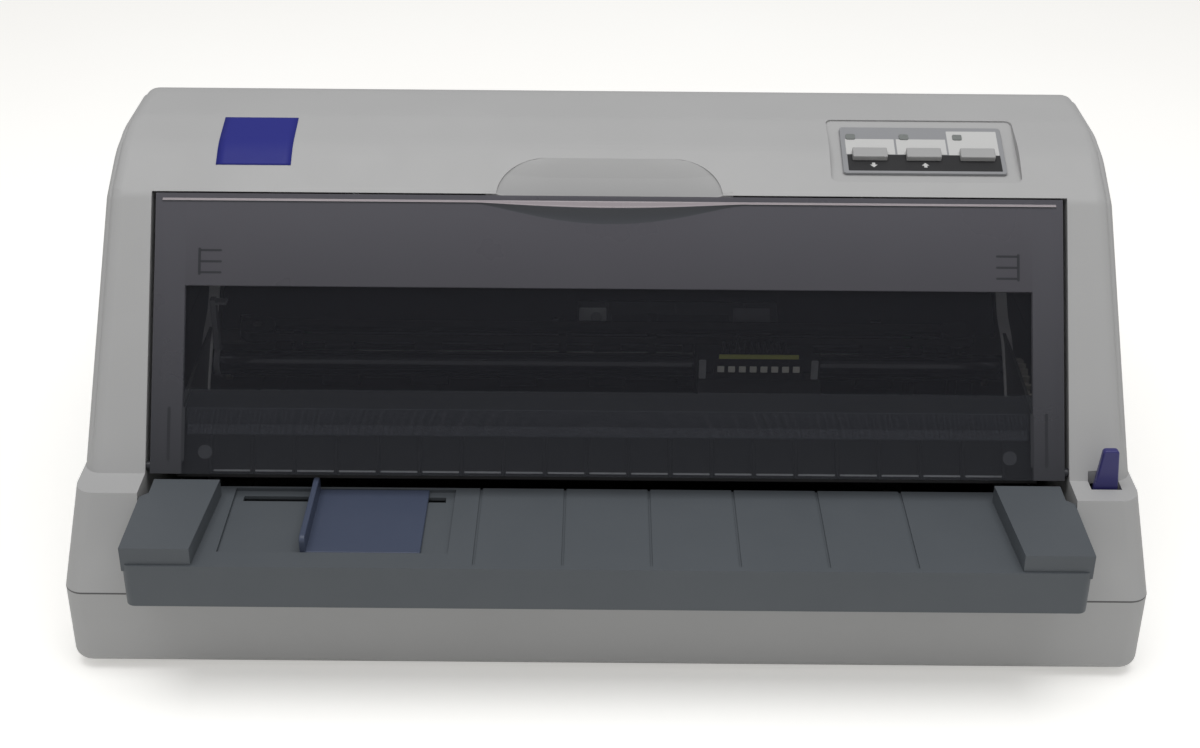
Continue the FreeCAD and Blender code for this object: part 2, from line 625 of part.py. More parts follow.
def upper_openings():
    """Tools that cut the cover opening, scoop, panel recess, lever slot, hinge holes and rear bay."""
    opening = new_body("cover_opening")
    back_y, back_z = on_cover(S.cover_length + S.cover_gap, S.wall * 2)
    front_y, front_z = on_cover(S.cover_length + S.cover_gap, -S.overrun)
    side = [(TRAY_FRONT, S.front_strip_height), (COVER_TOP_Y, S.front_strip_height),
            (COVER_TOP_Y, S.bed_height),
            (back_y, back_z), (front_y, front_z), (TRAY_FRONT, COVER_TOP_Z)]
    pad(opening, "YZ_Plane", (-S.opening_half_width, S.opening_half_width), side)
    recess = slope_body("panel_recess", S.panel_y, S.panel_z, S.panel_slope)
    half_x, half_v = S.panel_recess_width / 2, S.panel_recess_height / 2
    left, right = S.panel_x - half_x, S.panel_x + half_x
    pad(recess, "XY_Plane", (-S.plate_thickness, S.seat_height + S.overrun),
        [(left, -half_v, S.seat_margin), (right, -half_v, S.seat_margin), (right, half_v, S.seat_margin),
         (left, half_v, S.seat_margin)])
    tools = [opening, recess]
    for index in THREE_IN_A_ROW:
        middle = S.panel_x + S.button_pitch * index
        hole = slope_body("button_hole", S.panel_y, S.panel_z, S.panel_slope)
        pad(hole, "XY_Plane", (-S.plate_thickness - S.seat_thickness - S.overrun, S.overrun),
            button_outline(middle, S.button_flange + S.slide_gap))
        tools.append(hole)
    ramp = new_body("scoop_ramp")
    points = [on_brow(-S.overrun, S.scoop_depth), on_brow(S.scoop_wall, S.scoop_depth),
              on_brow(S.scoop_reach * S.ramp_share, S.scoop_depth / 2), on_brow(S.scoop_reach, ZERO),
              on_brow(S.scoop_reach, -S.scoop_reach), on_brow(-S.overrun, -S.scoop_reach)]
    pad(ramp, "YZ_Plane", (-S.scoop_half_width, S.scoop_half_width), points)
    fan = slope_body("scoop_fan", COVER_TOP_Y, COVER_TOP_Z, S.brow_slope)
    pad(fan, "XY_Plane", (-S.scoop_depth * 2, S.scoop_reach * 2),
        [(-S.scoop_half_width, -S.overrun), (S.scoop_half_width, -S.overrun), (S.scoop_half_width, ZERO),
         (S.scoop_top_half_width, S.scoop_reach, S.scoop_corner),
         (-S.scoop_top_half_width, S.scoop_reach, S.scoop_corner), (-S.scoop_half_width, ZERO)])
    tools.append(common("finger_scoop", ramp, fan))
    front = LEDGE_BACK - S.lever_slot_back
    tools.append(box("lever_slot", (S.lever_slot_left, S.lever_slot_right),
                     (front, front + S.lever_slot_length),
                     (S.ledge_height - S.wall * 2, S.ledge_height + S.overrun)))
    pivot = on_cover(S.pivot_up, S.pivot_in)
    far = S.opening_half_width + S.liner + S.overrun
    tools.append(rod("hinge_holes", "x", (-far, far), pivot, S.hinge_pin_radius + S.running_gap))
    tools.append(box("rear_bay", (-S.bay_half_width, S.bay_half_width), (S.bay_front, REAR + S.overrun),
                     (S.bay_floor, CROWN_Z)))
    y, z = lid_pivot()
    far = S.bay_half_width + S.liner + S.overrun
    tools.append(rod("lid_holes", "x", (-far, far), (y, z), S.lid_pin + S.running_gap))
    shaft_y, shaft_z = tractor_axis()
    tools.append(box("shaft_slots", (-far, far), (shaft_y - S.tractor_low,
                                                  shaft_y + S.guide_shaft_gap + S.tractor_low),
                     (S.bay_floor - S.overrun, shaft_z + S.square_side)))
    return tools


def button_outline(middle, grow):
    half = S.button_width / 2 + grow
    low, high = -S.button_low - grow, -S.button_low + S.button_height + grow
    return [(middle - half, low), (middle + half, low), (middle + half, high), (middle - half, high)]


def paper_tray():
    """The tray overhangs the front and lies between the cheeks; its bed has grooves and a guide recess."""
    tray = new_body("paper_tray")
    skin, rear = S.tray_skin, TRAY_FRONT + S.tray_length
    bed_front = TRAY_FRONT + S.bed_lip
    ear = TRAY_FRONT + S.ear_length
    wide, narrow = S.tray_half_width, S.tray_rear_half_width
    side_back = TRAY_FRONT + S.side_bed_length
    ring = [(-wide, TRAY_FRONT, S.cheek_radius), (wide, TRAY_FRONT, S.cheek_radius), (wide, ear),
            (narrow, ear + S.bed_lip),
            (narrow, rear), (-narrow, rear), (-narrow, ear + S.bed_lip), (-wide, ear)]
    pad(tray, "XY_Plane", (S.tray_front_height, S.bed_height), ring)
    for _, sign in mirrored_sides():
        inner = S.side_bed_inner
        pad(tray, "XY_Plane", (S.bed_height - skin, S.side_bed_height),
            [(sign * (inner + skin), TRAY_FRONT + S.bed_lip / 3), (sign * wide, TRAY_FRONT + S.bed_lip / 3),
             (sign * wide, ear), (sign * narrow, ear + S.bed_lip), (sign * narrow, side_back),
             (sign * inner, side_back)])
    bottom = S.tray_front_height - S.overrun
    for low_y, high_y in ((TRAY_FRONT + skin, FRONT - S.slide_gap), (FRONT + S.wall * 2, rear - skin)):
        half = narrow - skin
        pocket(tray, "XY_Plane", (bottom, S.bed_height - skin),
               [(-half, low_y), (half, low_y), (half, high_y), (-half, high_y)])
    pocket(tray, "XY_Plane", (bottom, S.front_strip_height),
           [(-wide - S.overrun, FRONT - S.slide_gap), (wide + S.overrun, FRONT - S.slide_gap),
            (wide + S.overrun, rear + S.overrun), (-wide - S.overrun, rear + S.overrun)])
    for count in GROOVE_COUNTS:
        x = S.groove_pitch * count
        half = S.groove_width / 2
        pocket(tray, "XY_Plane", (S.bed_height - S.groove_depth, S.bed_height + S.overrun),
               [(x - half, bed_front), (x + half, bed_front), (x + half, rear + S.overrun),
                (x - half, rear + S.overrun)])
    front, back = TRAY_FRONT + S.recess_front, TRAY_FRONT + S.recess_front + S.recess_length
    pocket(tray, "XY_Plane", (S.bed_height - S.guide_plate, S.bed_height + S.overrun),
           [(-S.recess_left, front), (-S.recess_right, front), (-S.recess_right, back),
            (-S.recess_left, back)])
    slot_back = back - S.slot_back
    slot_front = slot_back - S.slot_width
    pocket(tray, "XY_Plane", (S.bed_height - S.tray_skin - S.overrun, S.bed_height),
           [(-S.recess_left + S.slot_width, slot_front), (-S.recess_right - S.slot_width, slot_front),
            (-S.recess_right - S.slot_width, slot_back), (-S.recess_left + S.slot_width, slot_back)])
    keep("paper_tray", tray)


def edge_guide():
    """A flat plate in the tray's recess, with an upright fin and a key that runs in the slot."""
    guide = new_body("edge_guide")
    left, right = -S.guide_left, -S.guide_left + S.guide_width
    front, back = TRAY_FRONT + S.recess_front + S.slide_gap, TRAY_FRONT + S.recess_front + S.recess_length
    low = S.bed_height - S.guide_plate
    pad(guide, "XY_Plane", (low, S.bed_height),
        [(left, front), (right, front), (right, back - S.slide_gap), (left, back - S.slide_gap)])
    fin_top = S.bed_height + S.guide_fin_height
    pad(guide, "YZ_Plane", (left, left + S.guide_fin),
        [(front, low), (front, fin_top, S.guide_fin), (back - S.slide_gap, fin_top, S.guide_fin),
         (back - S.slide_gap, low)])
    slot_back = back - S.slot_back
    slot_front = slot_back - S.slot_width
    pad(guide, "XY_Plane", (low - S.key_depth, low + S.guide_plate / 2),
        [(left + S.slot_width * 2, slot_front + S.slide_gap),
         (right - S.slot_width * 2, slot_front + S.slide_gap),
         (right - S.slot_width * 2, slot_back - S.slide_gap),
         (left + S.slot_width * 2, slot_back - S.slide_gap)])
    keep("edge_guide", guide)


def front_cover():
    """The smoked cover, drawn flat and placed along its slope, with ribs and pins inside."""
    cover = slope_body("front_cover", LEDGE_BACK, S.ledge_height, S.cover_slope)
    half, skin, length = S.cover_half_width, S.cover_skin, S.cover_length
    pad(cover, "XY_Plane", (-skin, ZERO), [(-half, ZERO), (half, ZERO), (half, length), (-half, length)])
    pad(cover, "YZ_Plane", (-half, half),
        [(length - S.cover_rib, -S.cover_lip), (length, -S.cover_lip), (length, -skin / 2),
         (length - S.cover_rib, -skin / 2)])
    for side, sign in mirrored_sides():
        edge = between(sign, half - S.cover_rib * 2, half)
        pad(cover, "YZ_Plane", edge,
            [(ZERO, -skin / 2), (length - S.cover_rib / 2, -skin / 2),
             (length - S.cover_rib / 2, -S.cover_lip),
             (ZERO, -S.cover_lip - S.cover_rib, S.cover_rib)])
        pin = between(sign, half - S.cover_rib, S.opening_half_width + S.liner)
        pad(cover, "YZ_Plane", pin, Circle(S.pivot_up, -S.pivot_in, S.hinge_pin_radius))
        rib_x = between(sign, S.latch_rib_x, S.latch_rib_x + S.cover_rib)
        top = length - S.cover_lip * 2
        pad(cover, "YZ_Plane", rib_x, [(top - S.latch_rib_length, -skin / 2), (top, -skin / 2),
                                       (top, -S.latch_rib_depth),
                                       (top - S.latch_rib_length, -S.latch_rib_depth)])
        for step in range(int(S.latch_rungs.value)):
            low = top - S.latch_rib_depth - S.latch_rib_pitch * step
            pad(cover, "YZ_Plane", between(sign, S.latch_rib_x - S.latch_rib_depth,
                                           S.latch_rib_x + S.latch_rib_depth),
                [(low, -skin / 2), (low + S.cover_rib, -skin / 2), (low + S.cover_rib, -S.latch_rib_depth),
                 (low, -S.latch_rib_depth)])
    keep("front_cover", cover)
    foam = slope_body("cover_foam", LEDGE_BACK, S.ledge_height, S.cover_slope)
    half = S.foam_half_width
    pad(foam, "XY_Plane", (-skin - S.foam_thickness, -skin),
        [(-half, S.foam_up), (half, S.foam_up), (half, S.foam_up + S.foam_width),
         (-half, S.foam_up + S.foam_width)])
    keep("cover_foam", foam)


def entry_guide():
    """The black ribbed guide above the paper slot, behind the foot of the cover."""
    guide = new_body("entry_guide")
    skin = S.entry_skin
    half = S.frame_inner
    points = [on_cover(S.entry_low, S.entry_back), on_cover(S.entry_high, S.entry_back)]
    top_y, top_z = points[1]
    flange = [points[0], points[1], (-S.entry_rear, top_z), (-S.entry_rear, top_z - skin),
              (top_y + skin, top_z - skin), on_cover(S.entry_low, S.entry_back + skin)]
    pad(guide, "YZ_Plane", (-half, half), flange)
    rib = pad(guide, "YZ_Plane", (-S.entry_half_width, -S.entry_half_width + S.cover_rib),
              [on_cover(S.entry_low + skin, S.entry_back - S.entry_rib),
               on_cover(S.entry_high, S.entry_back - S.entry_rib),
               on_cover(S.entry_high, S.entry_back + skin / 2),
               on_cover(S.entry_low + skin, S.entry_back + skin / 2)])
    row_of(guide, rib, S.groove_pitch / 2, S.entry_ribs)
    keep("entry_guide", guide)


def panel():
    """Panel plate, three buttons and the small board behind them, all along the panel's slope."""
    plate = slope_body("panel_plate", S.panel_y, S.panel_z, S.panel_slope)
    half_x, half_v = S.panel_width / 2, S.panel_height / 2
    left, right = S.panel_x - half_x, S.panel_x + half_x
    pad(plate, "XY_Plane", (-S.plate_thickness, ZERO),
        [(left, -half_v, S.plate_thickness), (right, -half_v, S.plate_thickness),
         (right, half_v, S.plate_thickness),
         (left, half_v, S.plate_thickness)])
    board_top = -S.plate_thickness - S.seat_thickness - S.board_gap
    board = slope_body("panel_board_plate", S.panel_y, S.panel_z, S.panel_slope)
    pad(board, "XY_Plane", (board_top - S.board_thickness, board_top),
        [(left, -half_v), (right, -half_v), (right, half_v), (left, half_v)])
    posts = []
    names = ("feed_button", "load_button", "pause_button")
    for index, name in enumerate(names):
        middle = S.panel_x + S.button_pitch * (index - 1)
        pocket(plate, "XY_Plane", (-S.plate_thickness, S.overrun), button_outline(middle, S.slide_gap))
        low = -S.button_low + S.button_height / 2
        half = S.switch_side / 2
        button = slope_body(name, S.panel_y, S.panel_z, S.panel_slope)
        flange_top = -S.plate_thickness - S.slide_gap
        pad(button, "XY_Plane", (flange_top - S.flange_thickness, S.button_proud),
            button_outline(middle, ZERO))
        pad(button, "XY_Plane", (flange_top - S.flange_thickness, flange_top),
            button_outline(middle, S.button_flange))
        stem = flange_top - S.flange_thickness
        switch_top = stem - S.button_stroke - S.slide_gap
        pad(board, "XY_Plane", (board_top - S.board_thickness / 2, switch_top), square(middle, low, half))
        pad(plate, "XY_Plane", (ZERO, S.lamp_radius / 4),
            Circle(middle - S.button_width / 2, S.lamp_up, S.lamp_radius))
        keep(name, button)
    for x in (left + S.seat_margin, right - S.seat_margin):
        for v in (-half_v + S.seat_margin, half_v - S.seat_margin):
            pad(board, "XY_Plane", (board_top - S.board_thickness / 2,
                                    -S.plate_thickness - S.seat_thickness),
                square(x, v, S.lamp_radius))
    keep("panel_plate", plate)
    keep("panel_board", board)


def release_lever():
    """A tapering lever that stands through its slot in the right ledge and turns on a pin inside."""
    lever = new_body("release_lever")
    pivot_y, pivot_z = lever_pivot()
    middle = (S.lever_slot_left + S.lever_slot_right) / 2
    base, tip = S.lever_base_width / 2, S.lever_tip_width / 2
    top = S.ledge_height + S.lever_height
    half = S.lever_thickness / 2
    pad(lever, "XZ_Plane", (pivot_y - half, pivot_y + half),
        [(middle - base, pivot_z), (middle + base, pivot_z), (middle + base, S.ledge_height),
         (middle + tip, top, tip / 2), (middle - tip, top, tip / 2), (middle - base, S.ledge_height)])
    pad(lever, "YZ_Plane", (middle - base, middle + base), Circle(pivot_y, pivot_z, S.lever_boss_radius))
    pocket(lever, "YZ_Plane", (middle - base - S.overrun, middle + base + S.overrun),
           Circle(pivot_y, pivot_z, S.lever_pin_radius + S.running_gap))
    keep("release_lever", lever)


# Places of the small sight holes, as shares of the inner cover's half width
SIGHT_HOLE_SHARES = (-0.95, -0.14, 0.68)
# Chips and cans on the boards: across from the middle, back from the front edge and half side, each as a
# share of the largest chip's half side
CHIP_SHARES = ((0, 3, 1), (-4, 3, 0.6), (3, 4, 0.6), (4, 2, 0.5))
CAN_SHARES = ((-1, 4, 1.5), (3, 2, 0.8), (-4, 3, 0.8))
ROUND_CAN_SHARES = (3, 5, 1)


def chassis():
    """A bent steel pan, two side frames on its edges and two stays between them."""
    pan = new_body("base_frame")
    low, high = S.pan_seat, S.pan_seat + S.pan_thickness
    half = S.frame_inner + S.frame_plate
    pad(pan, "XY_Plane", (low, high),
        [(-half, -S.pan_front), (half, -S.pan_front), (half, S.pan_rear), (-half, S.pan_rear)])
    for x, y in corner_points(S.foot_x - S.screw_inset, S.foot_inset + S.screw_inset):
        pocket(pan, "XY_Plane", (low - S.overrun, high + S.overrun), Circle(x, y, S.screw_radius))
    for y in (-S.pan_front, S.pan_rear - S.pan_thickness):
        pad(pan, "XY_Plane", (low, high + S.pan_lip),
            [(-half, y), (half, y), (half, y + S.pan_thickness), (-half, y + S.pan_thickness)])
    inset = S.boss_radius
    for x in (S.main_board_left + inset, S.main_board_right - inset, S.supply_left + inset,
              S.supply_right - inset):
        for y in (S.board_front + inset, S.board_back - inset):
            pad(pan, "XY_Plane", (low, S.board_seat), square(x, y, inset / 2))
    keep("base_frame", pan)
    for side, sign in mirrored_sides():
        side_frame(side, sign)
    front = new_body("front_stay")
    top = S.bed_height - S.platen_gap - S.platen_height
    stay(front, -S.platen_front - (S.stay_depth - S.platen_depth) / 2, top)
    keep("front_stay", front)
    rear = new_body("rear_stay")
    stay(rear, S.bay_front - S.liner - S.stay_depth * 2,
         S.bed_height - S.guide_floor_skin - S.guide_rib_height)
    keep("rear_stay", rear)


def stay(body, front, top):
    """A channel section that spans the side frames, open downwards."""
    half = S.frame_inner
    back, skin = front + S.stay_depth, S.frame_plate
    pad(body, "YZ_Plane", (-half, half),
        [(front, top - S.stay_height), (front, top), (back, top), (back, top - S.stay_height),
         (back - skin, top - S.stay_height), (back - skin, top - skin), (front + skin, top - skin),
         (front + skin, top - S.stay_height)])


def side_frame(side, sign):
    frame = new_body(side + "_side_frame")
    inner, outer = S.frame_inner, S.frame_inner + S.frame_plate
    low = S.pan_seat + S.pan_thickness
    shaft_y, shaft_z = tractor_axis()
    guide_y = shaft_y + S.guide_shaft_gap
    reach = S.tractor_high + S.bush_radius
    side_view = [(-S.frame_front, low), (-S.frame_front, S.frame_front_height, S.bush_radius),
                 (-S.platen_front, S.frame_shoulder_height, S.bush_radius),
                 (S.inner_cover_front, S.frame_shoulder_height),
                 (S.stay_depth, S.frame_peak_height, S.bush_radius),
                 (S.stay_depth * 2, S.frame_peak_height, S.bush_radius),
                 (S.stay_depth * 3, S.frame_rear_height),
                 (shaft_y - reach, S.frame_rear_height, S.bush_radius),
                 (shaft_y - S.bush_radius, shaft_z + reach),
                 (guide_y, shaft_z + reach), (S.pan_rear, shaft_z), (S.pan_rear, low)]
    pad(frame, "YZ_Plane", between(sign, inner, outer), side_view)
    foot = between(sign, inner - S.frame_flange, inner)
    foot_plan = [(foot[0], -S.pan_front + S.pan_thickness), (foot[1], -S.pan_front + S.pan_thickness),
                 (foot[1], S.pan_rear - S.pan_thickness), (foot[0], S.pan_rear - S.pan_thickness)]
    pad(frame, "XY_Plane", (low, low + S.frame_plate), foot_plan)
    through = between(sign, inner - S.overrun, outer + S.overrun)
    holes = [Circle(S.shaft_y, S.shaft_z, S.shaft_radius), Circle(S.feed_y, S.feed_z, S.bush_radius),
             Circle(front_roll_y(), S.feed_z, S.bush_radius),
             Circle(guide_y, shaft_z, S.guide_shaft_radius),
             Circle(shaft_y, shaft_z, S.bush_radius)]
    if sign.value > 0:
        holes.append(Circle(*motor_axis(), S.stud_radius + S.slide_gap))
    pocket(frame, "YZ_Plane", through, *holes)
    window_low, window_high = low + S.frame_flange, S.feed_z - S.frame_flange * 2
    lighten = [(-S.frame_front + S.frame_flange, window_low, S.bush_radius),
               (S.inner_cover_front - S.frame_flange, window_low, S.bush_radius),
               (S.inner_cover_front - S.frame_flange, window_high, S.bush_radius),
               (-S.frame_front + S.frame_flange, window_high, S.bush_radius)]
    pocket(frame, "YZ_Plane", through, lighten)
    if sign.value > 0:
        stud = between(sign, outer - S.frame_plate / 2, outer + S.gear_gap + S.gear_width)
        linking_y = (front_roll_y() + S.feed_y) / 2
        for y, z in (reduction_axis(), first_tractor_axis(), second_tractor_axis(), (linking_y, S.feed_z)):
            pad(frame, "YZ_Plane", stud, Circle(y, z, S.stud_radius))
    else:
        shelf_low = S.pulley_low - S.slide_gap - S.bracket_thickness
        half = S.pulley_radius - S.bracket_thickness
        reach = S.pulley_x - half
        pad(frame, "XY_Plane", (shelf_low, shelf_low + S.bracket_thickness),
            [(-inner - S.frame_plate / 2, S.pulley_y - half), (-reach, S.pulley_y - half, half / 2),
             (-reach, S.pulley_y + half, half / 2), (-inner - S.frame_plate / 2, S.pulley_y + half)])
        pad(frame, "XY_Plane", (shelf_low + S.bracket_thickness / 2, S.pulley_low + S.pulley_height),
            Circle(-S.pulley_x, S.pulley_y, S.spindle))
    keep(side + "_side_frame", frame)


def print_line():
    """Platen, carriage shaft and rail, with the gap lever that turns about the shaft's left end."""
    platen = new_body("platen")
    top = S.bed_height - S.platen_gap
    front = -S.platen_front
    pad(platen, "YZ_Plane", (-S.platen_half_width, S.platen_half_width),
        [(front, top - S.platen_height), (front, top, S.bracket_thickness),
         (front + S.platen_depth, top, S.bracket_thickness),
         (front + S.platen_depth, top - S.platen_height)])
    keep("platen", platen)
    end = S.frame_inner + S.frame_plate + S.slide_gap
    shaft = new_body("carriage_shaft")
    bevel = S.slide_gap * 2
    turned(shaft, [(-end, ZERO), (-end, S.shaft_radius - bevel), (-end + bevel, S.shaft_radius),
                   (end - bevel, S.shaft_radius), (end, S.shaft_radius - bevel), (end, ZERO)])
    keep("carriage_shaft", place(shaft, ZERO, S.shaft_y, S.shaft_z))
    rail = new_body("carriage_rail")
    pad(rail, "XY_Plane", (S.rail_height, S.rail_height + S.rail_thickness),
        [(-S.frame_inner, -S.rail_front), (S.frame_inner, -S.rail_front),
         (S.frame_inner, -S.rail_front + S.rail_depth), (-S.frame_inner, -S.rail_front + S.rail_depth)])
    keep("carriage_rail", rail)
    lever = new_body("gap_lever")
    inner = S.gap_lever_inner
    ring, half = S.gap_lever_ring, S.gap_lever_arm / 2
    pad(lever, "YZ_Plane", (-inner - S.gap_lever_width, -inner), Circle(S.shaft_y, S.shaft_z, ring))
    pad(lever, "YZ_Plane", (-inner - S.gap_lever_width, -inner),
        [(S.shaft_y - half, S.shaft_z), (S.shaft_y + half, S.shaft_z),
         (S.shaft_y + half, S.shaft_z + S.gap_lever_reach, half / 2),
         (S.shaft_y - half, S.shaft_z + S.gap_lever_reach, half / 2)])
    pad(lever, "YZ_Plane", (-inner - S.running_gap, -inner + S.gap_lever_width * 2),
        [(S.shaft_y - half, S.shaft_z + S.gap_lever_reach - half),
         (S.shaft_y + half, S.shaft_z + S.gap_lever_reach - half),
         (S.shaft_y + half, S.shaft_z + S.gap_lever_reach - half / 2),
         (S.shaft_y - half, S.shaft_z + S.gap_lever_reach - half / 2)])
    pocket(lever, "YZ_Plane", (-inner - S.overrun * 2, -inner + S.overrun * 2),
           Circle(S.shaft_y, S.shaft_z, S.shaft_radius + S.running_gap))
    keep("gap_lever", lever)


def carriage():
    """The carriage rides on the shaft at its back and grips the rail with a forked foot in front."""
    body = new_body("carriage")
    left, right = S.carriage_x - S.carriage_width / 2, S.carriage_x + S.carriage_width / 2
    rail_low, rail_high = S.rail_height - S.slide_gap, S.rail_height + S.rail_thickness + S.slide_gap
    rail_back = -S.rail_front + S.rail_depth + S.slide_gap
    front, face = -S.carriage_front, -S.carriage_face
    jaw_low, jaw_high = rail_low - S.jaw, rail_high + S.jaw
    pad(body, "YZ_Plane", (left, right),
        [(front, jaw_low), (front, rail_low), (rail_back, rail_low), (rail_back, rail_high),
         (front, rail_high),
         (front, jaw_high), (face, jaw_high), (face, S.tower_top), (face + S.tower_depth, S.tower_top),
         (face + S.tower_depth, S.carriage_top), (-S.carriage_back, S.carriage_top, S.jaw),
         (-S.carriage_back, S.carriage_low, S.jaw), (rail_back, S.carriage_low, S.jaw),
         (rail_back, jaw_low)])
    pocket(body, "YZ_Plane", (left - S.overrun, right + S.overrun),
           Circle(S.shaft_y, S.shaft_z, S.shaft_radius + S.running_gap))
    head = S.head_half_width
    pocket(body, "XY_Plane", (S.carriage_low - S.overrun, S.tower_top + S.overrun),
           [(S.carriage_x - head, -S.head_front), (S.carriage_x + head, -S.head_front),
            (S.carriage_x + head, -S.head_back), (S.carriage_x - head, -S.head_back)])
    for _, sign in mirrored_sides():
        near = S.carriage_x + sign * (head + S.jaw * 2)
        far = S.carriage_x + sign * (S.carriage_width / 2 - S.jaw)
        pocket(body, "XZ_Plane", (front - S.overrun, face + S.jaw),
               [(near, jaw_high + S.jaw), (far, jaw_high + S.jaw), (far, S.tower_top - S.jaw * 2),
                (near, S.tower_top - S.jaw * 2)])
    belt_front = S.pulley_y - S.pulley_radius - S.belt_gap - S.belt_thickness
    clamp = S.clamp_half_width
    clamp_front = belt_front - S.belt_gap - S.clamp_wall
    clamp_back = belt_front + S.belt_thickness + S.belt_gap + S.clamp_wall
    top = S.pulley_low + S.pulley_height
    pad(body, "XY_Plane", (S.carriage_top - S.jaw / 2, top),
        [(S.carriage_x - clamp, clamp_front), (S.carriage_x + clamp, clamp_front),
         (S.carriage_x + clamp, clamp_back), (S.carriage_x - clamp, clamp_back)])
    pocket(body, "XY_Plane", (S.pulley_low + S.pulley_flange - S.belt_gap, top + S.overrun),
           [(S.carriage_x - clamp - S.overrun, belt_front - S.belt_gap),
            (S.carriage_x + clamp + S.overrun, belt_front - S.belt_gap),
            (S.carriage_x + clamp + S.overrun, belt_front + S.belt_thickness + S.belt_gap),
            (S.carriage_x - clamp - S.overrun, belt_front + S.belt_thickness + S.belt_gap)])
    keep("carriage", body)
    head_body = new_body("print_head")
    x = S.carriage_x
    pad(head_body, "XY_Plane", (S.head_low, S.head_top),
        [(x - head, -S.head_front), (x + head, -S.head_front), (x + head, -S.head_back),
         (x - head, -S.head_back)])
    pad(head_body, "XZ_Plane", (-S.nose_front, -S.nose_back),
        [(x - S.nose_half_width, S.nose_low), (x + S.nose_half_width, S.nose_low),
         (x + S.nose_half_width * 2, S.head_low + S.jaw), (x - S.nose_half_width * 2, S.head_low + S.jaw)])
    fin = pad(head_body, "YZ_Plane", (x - head, x - head + S.fin),
              [(-S.head_front, S.head_top - S.fin), (-S.head_back, S.head_top - S.fin),
               (-S.head_back, S.fin_top),
               (-S.head_front, S.fin_top)])
    row_of(head_body, fin, S.fin_pitch, S.fins)
    keep("print_head", head_body)
    blocks = []
    first = x - S.terminal_pitch * (S.terminals - 1) / 2
    for index in range(int(S.terminals.value)):
        middle = first + S.terminal_pitch * index
        blocks.append(box("terminal", (middle - S.terminal_width / 2, middle + S.terminal_width / 2),
                          (face - S.terminal_proud, face),
                          (S.terminal_low, S.terminal_low + S.terminal_height)))
    group("head_terminals", *blocks)


def carriage_drive():
    """A motor under the right pulley and an idler on the left, with the belt round both."""
    motor = new_body("carriage_motor")
    low = S.pan_seat + S.pan_thickness + S.frame_plate
    top = low + S.motor_height
    boss = S.spindle * 2
    turned(motor, [(ZERO, low), (S.motor_radius, low), (S.motor_radius, top - S.plate_thickness),
                   (S.motor_radius - S.plate_thickness, top), (boss, top), (boss, top + S.plate_thickness),
                   (ZERO, top + S.plate_thickness)], axis="V_Axis")
    pocket(motor, "XY_Plane", (top - S.spindle_depth, top + S.overrun),
           Circle(ZERO, ZERO, S.spindle + S.running_gap))
    keep("carriage_motor", place(motor, S.pulley_x, S.pulley_y, ZERO))
    base, high = S.pulley_low, S.pulley_low + S.pulley_height
    rim = [(S.flange_radius, base), (S.flange_radius, base + S.pulley_flange),
           (S.pulley_radius, base + S.pulley_flange),
           (S.pulley_radius, high - S.pulley_flange), (S.flange_radius, high - S.pulley_flange),
           (S.flange_radius, high)]
    drive = new_body("drive_pulley")
    foot = top - S.spindle_depth + S.slide_gap
    turned(drive, [(ZERO, foot), (S.spindle, foot), (S.spindle, base), *rim, (ZERO, high)], axis="V_Axis")
    keep("drive_pulley", place(drive, S.pulley_x, S.pulley_y, ZERO))
    idler = new_body("idler_pulley")
    bore = S.spindle + S.running_gap
    turned(idler, [(bore, base), *rim, (bore, high)], axis="V_Axis")
    keep("idler_pulley", place(idler, -S.pulley_x, S.pulley_y, ZERO))
    belt = new_body("drive_belt")
    inner = S.pulley_radius + S.belt_gap
    outer = inner + S.belt_thickness
    loops = []
    for radius in (outer, inner):
        bend = radius - S.belt_flat
        loops.append([(-S.pulley_x - radius, S.pulley_y - radius, bend),
                      (S.pulley_x + radius, S.pulley_y - radius, bend),
                      (S.pulley_x + radius, S.pulley_y + radius, bend),
                      (-S.pulley_x - radius, S.pulley_y + radius, bend)])
    pad(belt, "XY_Plane", (base + S.pulley_flange + S.belt_gap, high - S.pulley_flange - S.belt_gap),
        *loops)
    keep("drive_belt", belt)


def toothed(body, teeth, span, hole=None):
    """Adds a spur gear about the body's own X axis: a disc, one tooth and a polar row of it."""
    module = S.tooth_module
    pitch = toothed_radius(teeth)
    root, tip = pitch - module * S.root_share, pitch + module * S.tip_share
    loops = [Circle(ZERO, ZERO, root)]
    if hole is not None:
        loops.append(Circle(ZERO, ZERO, hole))
    pad(body, "YZ_Plane", span, *loops)
    half = module * S.tooth_half_share * (math.pi / 2)
    foot = half * S.tooth_foot_share
    tooth = pad(body, "YZ_Plane", span,
                [(-foot, root - module / 2), (foot, root - module / 2), (half, pitch), (half / 2, tip),
                 (-half / 2, tip), (-half, pitch)])
    ring_of(body, tooth, teeth)


def meshed_turn(turn, teeth, next_teeth, direction):
    """Turn of a gear whose gap meets a tooth of the gear before it, in degrees about X.

    Both turns are measured from the upright tooth, and the direction runs from gear to gear."""
    lead = turn + 90
    driven = (lead - direction) * teeth.value / next_teeth.value
    half_pitch = 180 / next_teeth.value
    return direction + 180 - driven - half_pitch - 90


